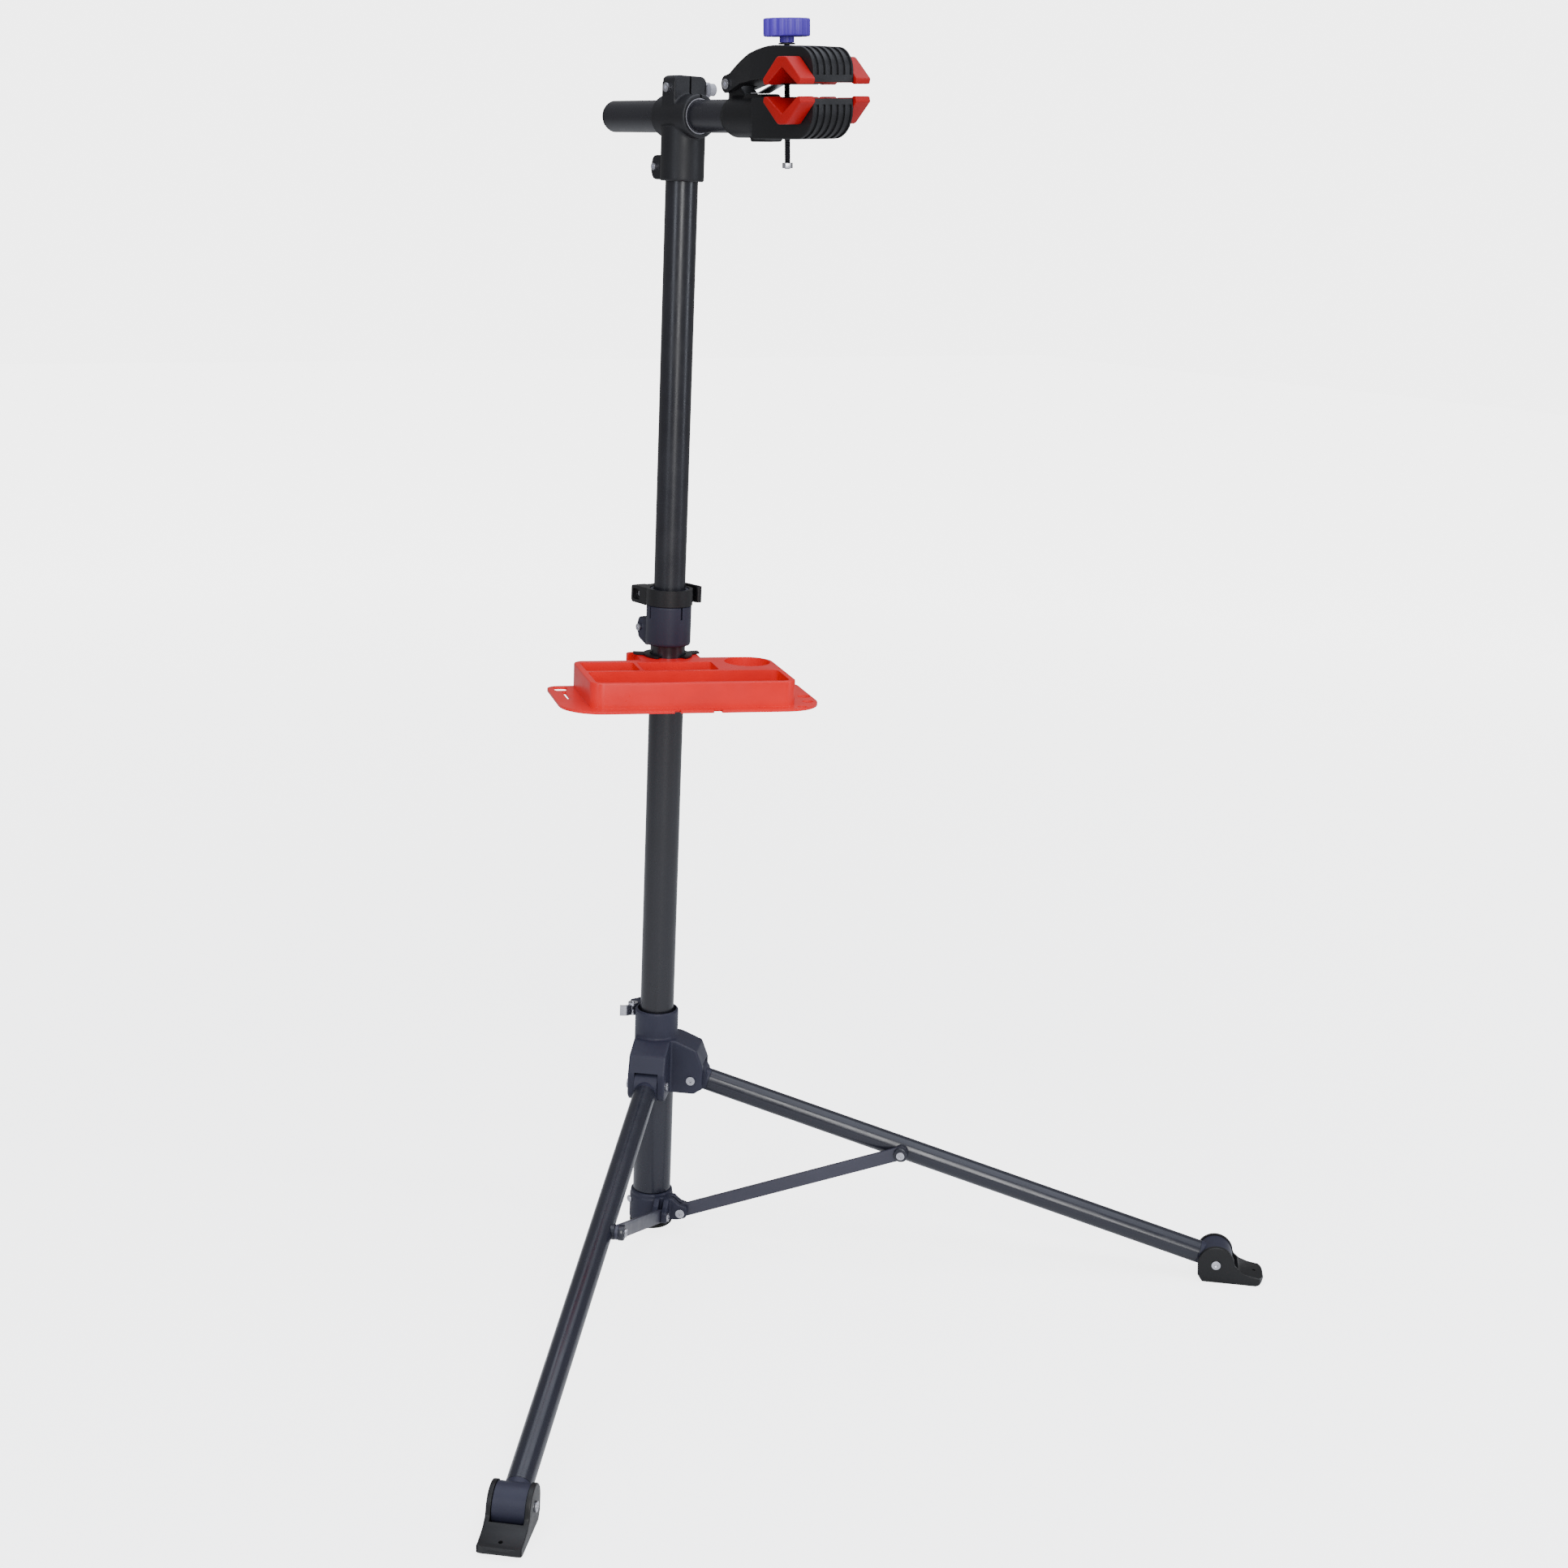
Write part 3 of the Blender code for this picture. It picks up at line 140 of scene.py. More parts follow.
# Arm head
ARM_HEIGHT = 1242.3
ARM_ROLL = 3.5
HEAD_SOCKET_RADIUS = 23.0
HEAD_SOCKET_BOTTOM = 1177.0
HEAD_BARREL_RADIUS = 22.0
HEAD_BARREL_HALF = 30.0
HEAD_CHAMFER = 1.2
HEAD_TOP = 1282.5
HEAD_SCREW = (-32.0, 1191.0)
CLAMP_BOLT = (-2.0, 1270.0)
ARM_RADIUS = 16.4
ARM_BORE = 14.9
ARM_BUSH_RADIUS = 17.9
ARM_LEFT = -133.0
ARM_TUBE_END = 140.0

# Jaw clamp, in the arm's frame: X along the arm, Z up from its axis
JAW_BACK = 150.0
JAW_FRONT = 250.0
JAW_HALF_WIDTH = 24.5
JAW_BOTTOM = -21.5
JAW_LOWER_TOP = 18.0
JAW_UPPER_BOTTOM = 29.3
JAW_UPPER_TOP = 65.7
JAW_PIN = (98.0, 31.0)
NOSE_LOWER = 27.0
NOSE_UPPER = 22.0
NOSE_TOP = 63.7
VEE_X = 224.0
VEE_SLOPE = 0.662
VEE_LOWER = 2.4
VEE_UPPER = 44.9
VEE_THICKNESS = 9.2
PAD_LINER = 3.0
PAD_HALF = 30.0
PAD_END = 42.7
PAD_INNER = 8.0
ROD_X = 177.0
ROD_RADIUS = 3.0
ROD_BOTTOM = -50.0
KNOB_BOTTOM = 74.0
KNOB_TOP = 91.0
KNOB_RADIUS = 22.8
KNOB_FLUTES = 14
FLUTE_DEPTH = 1.8
THREAD_PITCH = 1.6
THREAD_DEPTH = 0.55
GROOVES = 6
GROOVE_PITCH = 8.0
GROOVE_WIDTH = 4.4
GROOVE_DEPTH = 1.6

# Stage: lengths in metres, brightness relative to a white surface in full light
FLOOR_HALF = 12.0
FLOOR_LIFT = 3.2
FLOOR_FADE = (0.8, 4.5)
BACKDROP = 4.5
ROOM_LIGHT = 0.30
COOL = (0.84, 0.89, 1.0)

# Helpers: outlines

def arc(centre, radius, start, end, steps):
    """Points along an arc from one angle to the other, in degrees."""
    points = []
    steps *= DETAIL
    for step in range(steps + 1):
        angle = math.radians(start + (end - start) * step / steps)
        points.append((centre[0] + radius * math.cos(angle), centre[1] + radius * math.sin(angle)))
    return points


def circle(centre, radius, segments):
    """A closed ring of points."""
    turns = [2 * math.pi * index / segments for index in range(segments)]
    return [(centre[0] + radius * math.cos(turn), centre[1] + radius * math.sin(turn)) for turn in turns]


def rounded(corners, steps=10):
    """Round each corner (x, y, radius) of a closed outline with an arc."""
    points = []
    for index, (x, y, radius) in enumerate(corners):
        corner = Vector((x, y))
        if radius == 0:
            points.append((x, y))
            continue
        before = (Vector(corners[index - 1][:2]) - corner).normalized()
        after = (Vector(corners[(index + 1) % len(corners)][:2]) - corner).normalized()
        half = before.angle(after) / 2
        centre = corner + (before + after).normalized() * radius / math.sin(half)
        start = corner + before * radius / math.tan(half) - centre
        end = corner + after * radius / math.tan(half) - centre
        sweep = start.angle(end)
        for step in range(steps + 1):
            share = step / steps
            blend = start * math.sin((1 - share) * sweep) + end * math.sin(share * sweep)
            points.append(tuple(centre + blend / math.sin(sweep)))
    return points


def rectangle(left, right, low, high, radius=0, steps=10):
    """A rectangle with rounded corners."""
    corners = [(left, low, radius), (right, low, radius), (right, high, radius), (left, high, radius)]
    return rounded(corners, steps)


def strip(path, thickness):
    """The outline of a band of even thickness along a path."""
    left = []
    right = []
    for index, point in enumerate(path):
        before = Vector(path[max(index - 1, 0)])
        after = Vector(path[min(index + 1, len(path) - 1)])
        along = (after - before).normalized()
        side = Vector((-along.y, along.x)) * thickness / 2
        left.append(tuple(Vector(point) + side))
        right.append(tuple(Vector(point) - side))
    return left + right[::-1]


def curve(points, steps=12):
    """A smooth path through the points."""
    path = []
    for index in range(len(points) - 1):
        p0 = Vector(points[max(index - 1, 0)])
        p1 = Vector(points[index])
        p2 = Vector(points[index + 1])
        p3 = Vector(points[min(index + 2, len(points) - 1)])
        for step in range(steps):
            t = step / steps
            blend = 2 * p1 + (p2 - p0) * t
            blend += (2 * p0 - 5 * p1 + 4 * p2 - p3) * t ** 2
            blend += (3 * p1 - 3 * p2 + p3 - p0) * t ** 3
            path.append(tuple(blend / 2))
    path.append(tuple(points[-1]))
    return path


# Helpers: solids, as bmeshes in millimetres

def prism(outline, low, high, axis="z"):
    """Extrude a closed outline along an axis; the outline's plane is the other two axes in order."""
    mesh = bmesh.new()
    place = {
        "x": lambda a, b: (low, a, b),
        "y": lambda a, b: (a, low, b),
        "z": lambda a, b: (a, b, low),
    }[axis]
    direction = {"x": (1, 0, 0), "y": (0, 1, 0), "z": (0, 0, 1)}[axis]
    face = mesh.faces.new([mesh.verts.new(place(a, b)) for a, b in outline])
    extruded = bmesh.ops.extrude_face_region(mesh, geom=[face], use_keep_orig=True)
    far_end = [item for item in extruded["geom"] if isinstance(item, bmesh.types.BMVert)]
    bmesh.ops.translate(mesh, verts=far_end, vec=Vector(direction) * (high - low))
    bmesh.ops.recalc_face_normals(mesh, faces=mesh.faces)
    return mesh


def box(x_low, x_high, y_low, y_high, z_low, z_high):
    """A plain block."""
    return prism(rectangle(x_low, x_high, y_low, y_high), z_low, z_high)


def lathe(outline, axis="z", segments=LARGE_ROUND):
    """Turn an outline of (radius, position) points about an axis through the frame's origin."""
    mesh = bmesh.new()
    ring = [mesh.verts.new((radius, 0, position)) for radius, position in outline]
    edges = []
    for index, vert in enumerate(ring):
        before = ring[index - 1]
        if before.co.x > 0 or vert.co.x > 0:
            edges.append(mesh.edges.new((before, vert)))
    full_turn = 2 * math.pi
    bmesh.ops.spin(
        mesh, geom=ring + edges, cent=(0, 0, 0), axis=(0, 0, 1), angle=full_turn, steps=segments
    )
    bmesh.ops.remove_doubles(mesh, verts=mesh.verts, dist=0.001)
    on_axis = [vert for vert in mesh.verts if vert.co.xy.length < 0.001]
    bmesh.ops.dissolve_verts(mesh, verts=on_axis)
    bmesh.ops.recalc_face_normals(mesh, faces=mesh.faces)
    turns = {
        "x": Matrix(((0, 0, 1), (1, 0, 0), (0, 1, 0))),
        "y": Matrix(((0, 1, 0), (0, 0, 1), (1, 0, 0))),
        "z": Matrix.Identity(3),
    }
    bmesh.ops.transform(mesh, verts=mesh.verts, matrix=turns[axis].to_4x4())
    return mesh


def tube(outer, inner, low, high, axis="z", segments=LARGE_ROUND):
    """A round tube."""
    return lathe([(inner, low), (outer, low), (outer, high), (inner, high)], axis, segments)


def rod(radius, low, high, axis="z", centre=(0, 0), segments=SMALL_ROUND):
    """A round bar; its centre is given in the other two axes in order."""
    return prism(circle(centre, radius, segments), low, high, axis)


def moved(mesh, x=0, y=0, z=0):
    """The same mesh, shifted."""
    bmesh.ops.translate(mesh, verts=mesh.verts, vec=(x, y, z))
    return mesh


def turned(mesh, azimuth):
    """The same mesh, turned about the mast's axis."""
    matrix = Matrix.Rotation(math.radians(azimuth), 4, "Z")
    bmesh.ops.transform(mesh, verts=mesh.verts, matrix=matrix)
    return mesh


def two_headed(outer, inner):
    """A bolt across Y with a head at each end, from the inner to the outer distance."""
    half = [(0, -outer), (PIN_HEAD, -outer), (PIN_HEAD, -inner), (BOLT_RADIUS, -inner)]
    return lathe(half + [(radius, -position) for radius, position in half[::-1]], "y", SMALL_ROUND)


def bolt(head, head_low, head_high, tip):
    """A bolt across Y with its head between two positions and its shank out to the tip."""
    outline = [
        (0, head_high),
        (head, head_high),
        (head, head_low),
        (BOLT_RADIUS, head_low),
        (BOLT_RADIUS, tip),
        (0, tip),
    ]
    return lathe(outline, "y", SMALL_ROUND)


# Materials

class Nodes:
    """A material's node tree, with short calls to add and link nodes."""

    def __init__(self, name):
        self.material = bpy.data.materials.new(name)
        self.material.use_nodes = True
        self.tree = self.material.node_tree
        self.shader = self.tree.nodes["Principled BSDF"]
        self.place = self.add("ShaderNodeTexCoord").outputs["Object"]

    def add(self, kind, links=(), **settings):
        """A node with its settings, its inputs set to a value or linked to a socket."""
        node = self.tree.nodes.new(kind)
        for key, value in settings.items():
            setattr(node, key, value)
        for socket, value in links:
            self.plug(node.inputs[socket], value)
        return node

    def plug(self, socket, value):
        """Link an output, or set a plain value."""
        if isinstance(value, bpy.types.NodeSocket):
            self.tree.links.new(value, socket)
        else:
            socket.default_value = value

    def noise(self, scale, detail=3.0, stretch=(1, 1, 1)):
        """A noise between 0 and 1 over the piece; the scale is in cells per metre."""
        mapping = self.add("ShaderNodeMapping", (("Vector", self.place), ("Scale", stretch)))
        links = (("Vector", mapping.outputs["Vector"]), ("Scale", scale), ("Detail", detail))
        return self.add("ShaderNodeTexNoise", links).outputs["Fac"]

    def spread(self, value, low, high, from_low=0.3, from_high=0.7):
        """Map a value to a range."""
        links = (
            ("Value", value),
            ("From Min", from_low),
            ("From Max", from_high),
            ("To Min", low),
            ("To Max", high),
        )
        return self.add("ShaderNodeMapRange", links).outputs["Result"]

    def mix(self, factor, first, second):
        """Blend two colours."""
        node = self.add("ShaderNodeMix", data_type="RGBA")
        self.plug(node.inputs["Factor"], factor)
        self.plug(node.inputs["A"], first)
        self.plug(node.inputs["B"], second)
        return node.outputs["Result"]

    def edges(self, radius):
        """(rounded normal, edge mask): the mask is 1 on sharp edges within the radius in metres."""
        bevel = self.add("ShaderNodeBevel", (("Radius", radius),), samples=4)
        geometry = self.add("ShaderNodeNewGeometry")
        dot = self.add("ShaderNodeVectorMath", operation="DOT_PRODUCT")
        self.plug(dot.inputs[0], bevel.outputs["Normal"])
        self.plug(dot.inputs[1], geometry.outputs["Normal"])
        return bevel.outputs["Normal"], self.spread(dot.outputs["Value"], 1.0, 0.0, 0.80, 0.99)

    def bump(self, height, strength, distance, normal):
        """A bump on top of another normal."""
        links = (("Height", height), ("Strength", strength), ("Distance", distance), ("Normal", normal))
        return self.add("ShaderNodeBump", links).outputs["Normal"]


def shade(value, factor):
    """A colour made darker or lighter."""
    return tuple(min(channel * factor, 1.0) for channel in value[:3]) + (1.0,)


def coated(name, colour, roughness, grain, depth, edge=0.0005, wear=1.6, shine=0.5):
    """Paint or moulded plastic: fine grain, cloudy gloss and slightly paler edges."""
    nodes = Nodes(name)
    normal, edge_mask = nodes.edges(edge)
    clouds = nodes.noise(14.0, 4.0)
    specks = nodes.noise(grain, 2.0)
    body = nodes.mix(nodes.spread(clouds, 0.0, 1.0), shade(colour, 0.90), shade(colour, 1.12))
    worn = nodes.mix(nodes.spread(edge_mask, 0.0, 0.55, 0.0, 1.0), body, shade(colour, wear))
    nodes.plug(nodes.shader.inputs["Base Color"], worn)
    gloss = nodes.spread(nodes.noise(45.0, 5.0), roughness - 0.05, roughness + 0.06)
    nodes.plug(nodes.shader.inputs["Roughness"], gloss)
    nodes.plug(nodes.shader.inputs["Normal"], nodes.bump(specks, depth, 0.0004, normal))
    nodes.shader.inputs["Specular IOR Level"].default_value = shine
    return nodes.material


def metal(name, colour, roughness):
    """Plated or blackened steel with fine brush marks along one direction and duller patches."""
    nodes = Nodes(name)
    normal, edge_mask = nodes.edges(0.0003)
    brush = nodes.noise(900.0, 3.0, (1, 1, 12))
    patches = nodes.noise(60.0, 4.0)
    body = nodes.mix(nodes.spread(patches, 0.0, 1.0), shade(colour, 0.82), shade(colour, 1.05))
    bright = nodes.mix(nodes.spread(edge_mask, 0.0, 0.7, 0.0, 1.0), body, shade(colour, 1.3))
    nodes.plug(nodes.shader.inputs["Base Color"], bright)
    nodes.plug(nodes.shader.inputs["Roughness"], nodes.spread(patches, roughness - 0.06, roughness + 0.10))
    nodes.plug(nodes.shader.inputs["Normal"], nodes.bump(brush, 0.12, 0.0002, normal))
    nodes.shader.inputs["Metallic"].default_value = 1.0
    return nodes.material


MATERIALS = {
    "mast_black": coated("mast_paint", (0.010, 0.010, 0.014), 0.30, 1500, 0.025),
    "casting_grey": coated("casting_paint", (0.020, 0.021, 0.038), 0.46, 1100, 0.14, shine=0.32),
    "casting_black": coated("black_casting_paint", (0.009, 0.009, 0.011), 0.46, 1100, 0.14, shine=0.32),
    "leg_grey": coated("leg_paint", (0.014, 0.015, 0.024), 0.24, 1500, 0.025),
    "strut_grey": coated("strut_paint", (0.040, 0.040, 0.060), 0.36, 1300, 0.08),
    "gloss_black": coated("satin_black_plastic", (0.005, 0.005, 0.006), 0.42, 1300, 0.08, shine=0.36),
    "jaw_black": coated("jaw_black_plastic", (0.006, 0.006, 0.007), 0.46, 1600, 0.12, shine=0.30),
    "tray_red": coated("tray_red_plastic", (0.740, 0.008, 0.010), 0.32, 500, 0.04, 0.0008, 1.25, shine=0.30),
    "pad_red": coated("pad_red_rubber", (0.360, 0.002, 0.002), 0.50, 1800, 0.12, 0.0008, 1.3, shine=0.25),
    "knob_violet": coated("knob_violet_plastic", (0.070, 0.026, 0.400), 0.42, 1500, 0.10, 0.0006, 1.4),
    "bright_steel": metal("zinc_plated_steel", (0.62, 0.62, 0.67), 0.26),
    "black_steel": metal("blackened_steel", (0.030, 0.030, 0.034), 0.34),
    "nylon_grey": coated("light_grey_nylon", (0.34, 0.34, 0.38), 0.50, 1400, 0.12, 0.0006, 1.2),
    "rubber_black": coated("black_rubber", (0.008, 0.008, 0.008), 0.75, 1200, 0.25),
}


# Helpers: pieces on the frame

RECORD = cad["record"]
BODY_OF = {node: body for body, nodes in RECORD["behaviour"]["bodies"].items() for node in nodes}
SLOT_OF = {entry["node"]: entry["material_slot"] for entry in RECORD["subparts"]}
LOCAL_FRAMES = {}


def on_azimuth(azimuth, place):
    """A place given as radius and height, as X, Y and Z at an azimuth."""
    angle = math.radians(azimuth)
    return (place[0] * math.cos(angle), place[0] * math.sin(angle), place[1])


def frame_at(location, rotation=(0, 0, 0)):
    """The matrix of a local frame, from its place in millimetres and its angles in degrees."""
    matrix = Matrix.Translation(location)
    for angle, axis in zip(rotation[::-1], "ZYX"):
        matrix = matrix @ Matrix.Rotation(math.radians(angle), 4, axis)
    return matrix


def link_mesh(name, mesh, matrix):
    """Link a bmesh of a local frame as an object in the row frame, in metres."""
    bmesh.ops.transform(mesh, verts=mesh.verts, matrix=Matrix.Scale(MM, 4) @ matrix)
    data = bpy.data.meshes.new(name)
    mesh.to_mesh(data)
    mesh.free()
    linked = bpy.data.objects.new(name, data)
    bpy.context.scene.collection.objects.link(linked)
    return linked


def part(node, mesh, matrix=Matrix.Identity(4), detail="look", slot=None):
    """A fine piece for one CAD node, in the node's own material slot unless another is given."""
    piece = link_mesh(f"{node}_{detail}", mesh, matrix)
    piece["node"] = node
    piece["slot"] = slot or SLOT_OF[node]
    LOCAL_FRAMES[piece.name] = matrix
    return piece


def soften(piece, width, segments=3):
    """Round the sharp edges."""
    bevel = piece.modifiers.new("soft_edges", "BEVEL")
    bevel.width = width * MM
    bevel.segments = segments
    bevel.limit_method = "ANGLE"
    bevel.angle_limit = SHARP_ANGLE
    return piece


def fuse(piece, voxel, rounds):
    """Melt the joined shapes of a casting into one skin with soft inner and outer corners."""
    remesh = piece.modifiers.new("one_skin", "REMESH")
    remesh.mode = "VOXEL"
    remesh.voxel_size = voxel * MM
    smooth = piece.modifiers.new("soft_corners", "SMOOTH")
    smooth.factor = 0.5
    smooth.iterations = rounds
    return piece


def drive_recess(piece, turn, centre, face, inward, radius=2.3, depth=1.6):
    """Sink a hexagonal drive into a bolt's head at a face across Y."""
    low, high = sorted((face - inward, face + inward * depth))
    return cut(piece, turned(rod(radius, low, high, "y", centre, 6), turn))


def combine(piece, mesh, operation):
    """Add a Boolean modifier with its own helper, which settle() removes."""
    helper = link_mesh(f"helper_{piece.name}_{len(piece.modifiers)}", mesh, LOCAL_FRAMES[piece.name])
    modifier = piece.modifiers.new(helper.name, "BOOLEAN")
    modifier.operation = operation
    modifier.solver = "EXACT"
    modifier.object = helper


def cut(piece, *meshes):
    """Take each mesh away from the piece."""
    for mesh in meshes:
        combine(piece, mesh, "DIFFERENCE")
    return piece


def add(piece, *meshes):
    """Join each mesh to the piece."""
    for mesh in meshes:
        combine(piece, mesh, "UNION")
    return piece


def settle():
    """Apply every piece's modifiers, remove the helpers and put the pieces on their bodies."""
    bpy.context.view_layer.update()
    graph = bpy.context.evaluated_depsgraph_get()
    made = [bpy.data.objects[name] for name in LOCAL_FRAMES]
    for piece in made:
        data = bpy.data.meshes.new_from_object(piece.evaluated_get(graph))
        helpers = [modifier.object for modifier in piece.modifiers if modifier.type == "BOOLEAN"]
        piece.modifiers.clear()
        piece.data = data
        data.name = piece.name
        data.shade_smooth()
        data.set_sharp_from_angle(angle=SHARP_ANGLE)
        for helper in helpers:
            bpy.data.objects.remove(helper, do_unlink=True)
        node = piece["node"]
        data.materials.clear()
        data.materials.append(MATERIALS[piece["slot"]])
        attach(piece, BODY_OF[node])
        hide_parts(node)


# Mast foot and middle tube

def make_foot_pad():
    """The rubber pad that the mast stands on."""
    outline = [(0, 0), (PAD_RADIUS - 1.2, 0), (PAD_RADIUS, 1.2), (PAD_RADIUS, PAD_HEIGHT), (0, PAD_HEIGHT)]
    part("mast_foot_pad", lathe(outline))


def make_bracket():
    """The cast cup under the mast, with a fork for each strut."""
    bottom = PAD_HEIGHT + GAP
    bore = MIDDLE_TUBE_RADIUS + GAP
    outline = [
        (0, bottom),
        (BRACKET_RADIUS - 3, bottom),
        (BRACKET_RADIUS - 0.9, bottom + 0.9),
        (BRACKET_RADIUS, bottom + 3),
        (BRACKET_RADIUS, 35.5),
        (BRACKET_RADIUS - 0.9, 36.4),
        (BRACKET_RADIUS - 0.9, 40.6),
        (BRACKET_RADIUS - 2, BRACKET_TOP),
        (bore, BRACKET_TOP),
        (bore, BRACKET_FLOOR),
        (0, BRACKET_FLOOR),
    ]
    bracket = part("mast_bracket", lathe(outline))
    for leg, azimuth in LEG_AZIMUTHS.items():
        side = STRUT_SIDES[leg]
        for inner, outer, start in ((8.6, STRUT_INNER - 0.4, 21), (STRUT_OUTER + 0.4, 26, 12)):
            cheek = rounded([
                (start, 12.5, 0), (38, 15.5, 5), (46.8, 19, 6), (46.8, 31.5, 3), (37, 34, 5), (29, 41, 3),
                (start, 41, 0),
            ])
            low, high = sorted((side * inner, side * outer))
            add(bracket, turned(prism(cheek, low, high, "y"), azimuth))
    fuse(bracket, 0.9, 5)
    for azimuth in LEG_AZIMUTHS.values():
        cut(bracket, turned(rod(BOLT_HOLE, -40, 40, "y", STRUT_FOOT), azimuth))
    cut(bracket, rod(2.3, -30, -17.2, "y", (-8, 30)))
    cut(bracket, lathe([(0, BRACKET_FLOOR), (bore, BRACKET_FLOOR), (bore, 60), (0, 60)]))


def make_bracket_fasteners():
    """The screw that holds the tube in the bracket, and each strut's lower bolt."""
    screw = lathe(
        [(0, -26.5), (3.6, -26.5), (4.2, -25.9), (4.2, -24.9), (2, -24.9), (2, -18.6), (0, -18.6)], "y", 12
    )
    part("bracket_screw", moved(screw, x=-8, z=30))
    for leg, azimuth in LEG_AZIMUTHS.items():
        side = STRUT_SIDES[leg]
        shape = moved(bolt(5.2, side * 26.3, side * 28.2, side * 7.4), x=STRUT_FOOT[0], z=STRUT_FOOT[1])
        piece = part(f"bracket_bolt_{leg}", turned(shape, azimuth))
        drive_recess(piece, azimuth, STRUT_FOOT, side * 28.2, -side)


def make_middle_tube():
    """The mast's lower, wider tube."""
    shape = tube(MIDDLE_TUBE_RADIUS, MIDDLE_TUBE_BORE, BRACKET_FLOOR + GAP, MIDDLE_TUBE_TOP)
    part("middle_tube", shape)


# Collar on the middle tube

def make_collar():
    """The casting that closes on the upper tube; four slits let its neck close."""
    bore = MIDDLE_TUBE_RADIUS + GAP
    outline = [
        (bore - 1, COLLAR_BOTTOM),
        (COLLAR_RADIUS - 1.2, COLLAR_BOTTOM),
        (COLLAR_RADIUS, COLLAR_BOTTOM + 2),
        (COLLAR_RADIUS, COLLAR_SHOULDER),
        (COLLAR_NECK_RADIUS, COLLAR_SHOULDER),
        (COLLAR_NECK_RADIUS, COLLAR_TOP),
        (COLLAR_NECK_BORE, COLLAR_TOP),
        (COLLAR_NECK_BORE, COLLAR_SHOULDER),
        (bore - 1, COLLAR_SHOULDER),
    ]
    casting = part("collar_casting", lathe(outline))
    lug = rounded([
        (-20, 712, 0), (-38, 712, 6), (-42.5, 700, 3), (-38, 688, 6), (-24, 682, 0), (-20, 682, 0),
    ])
    add(casting, prism(lug, -14, 14, "y"))
    fuse(casting, 0.9, 4)
    cut(
        casting,
        rod(COLLAR_NECK_BORE, 670, 760, segments=LARGE_ROUND),
        rod(bore, 670, MIDDLE_TUBE_TOP + GAP, segments=LARGE_ROUND),
        box(-60, -17, -SLIT, SLIT, 670, 716),
        box(-30, 30, -SLIT, SLIT, 716, 760),
        box(-SLIT, SLIT, -30, 30, 716, 760),
        rod(BOLT_HOLE, -20, 20, "y", COLLAR_SCREW),
    )
    shape = moved(bolt(4.0, -14.4, -16.8, 12), x=COLLAR_SCREW[0], z=COLLAR_SCREW[1])
    drive_recess(part("collar_screw", shape), 0, COLLAR_SCREW, -16.8, 1, 2.0)


def make_collar_band():
    """The quick-release band with its square end block."""
    band = part("collar_band", tube(BAND_RADIUS, COLLAR_NECK_RADIUS + GAP, BAND_BOTTOM, BAND_TOP))
    block = rounded([(-42.6, 728, 3.5), (-14, 728, 0), (-14, 747, 0), (-42.6, 747, 3.5)])
    far_ear = rounded([(-40, BAND_BOTTOM, 3.5), (-16, BAND_BOTTOM, 0), (-16, 747, 0), (-40, 747, 3.5)])
    add(band, prism(block, -21.5, -6, "y"), prism(far_ear, -7, 10, "y"))
    cut(
        band,
        rod(COLLAR_RADIUS + GAP, 700, BAND_BOTTOM - 0.1, segments=LARGE_ROUND),
        rod(COLLAR_NECK_RADIUS + GAP, 700, 760, segments=LARGE_ROUND),
        box(-60, -18, -SLIT, SLIT, 700, 760),
        rod(BOLT_HOLE, -30, 20, "y", COLLAR_SKEWER),
        prism(rectangle(-39.4, -26.6, 731.8, 743.6, 2.5), -30, -18.5, "y"),
    )


def make_quick_release(name, skewer, pin_y, far_end, ear_y, height_low, height_high):
    """A skewer with a vertical pin through its end, which the lever turns on."""
    side = 1 if pin_y > 0 else -1
    x, z = skewer
    bar = part(f"{name}_skewer", rod(BOLT_RADIUS - 0.2, *sorted((far_end, pin_y + side * 2.6)), "y", skewer))
    if ear_y:
        add(bar, rod(4.0, *sorted((ear_y, far_end)), "y", skewer, 6))
    cut(bar, rod(LEVER_PIN + GAP, z - 10, z + 10, "z", (x, pin_y), 12))
    pin = rod(LEVER_PIN, height_low, height_high, "z", (x, pin_y), 12)
    part(f"{name}_lever_pin", pin)


def make_collar_lever():
    """The black lever that wraps round the band and curls outward at its tip."""
    x, z = COLLAR_SKEWER
    path = curve([(x + 2, COLLAR_PIN_Y + 5.4), (-22, 24.5), (-12, 28.2), (-2, 29.6), (5, 29.8), (10, 31.5)])
    lever = part("collar_lever", prism(strip(path, 3.4), 731.2, 750, "z"))
    add(
        lever,
        rod(6.6, 731.2, 746.6, "z", (x, COLLAR_PIN_Y), MEDIUM_ROUND),
        rod(3.6, 731.6, 749.2, "z", path[-1], MEDIUM_ROUND),
    )
    slot = rounded([(x - 9, 5, 0), (x + 7.4, 5, 0), (x + 7.4, 20, 0), (x + 4, 22.2, 0), (x - 9, 22.2, 0)])
    cut(lever, prism(slot, z - 4, z + 4), rod(LEVER_PIN + GAP, 720, 760, "z", (x, COLLAR_PIN_Y), 12))


# Hub

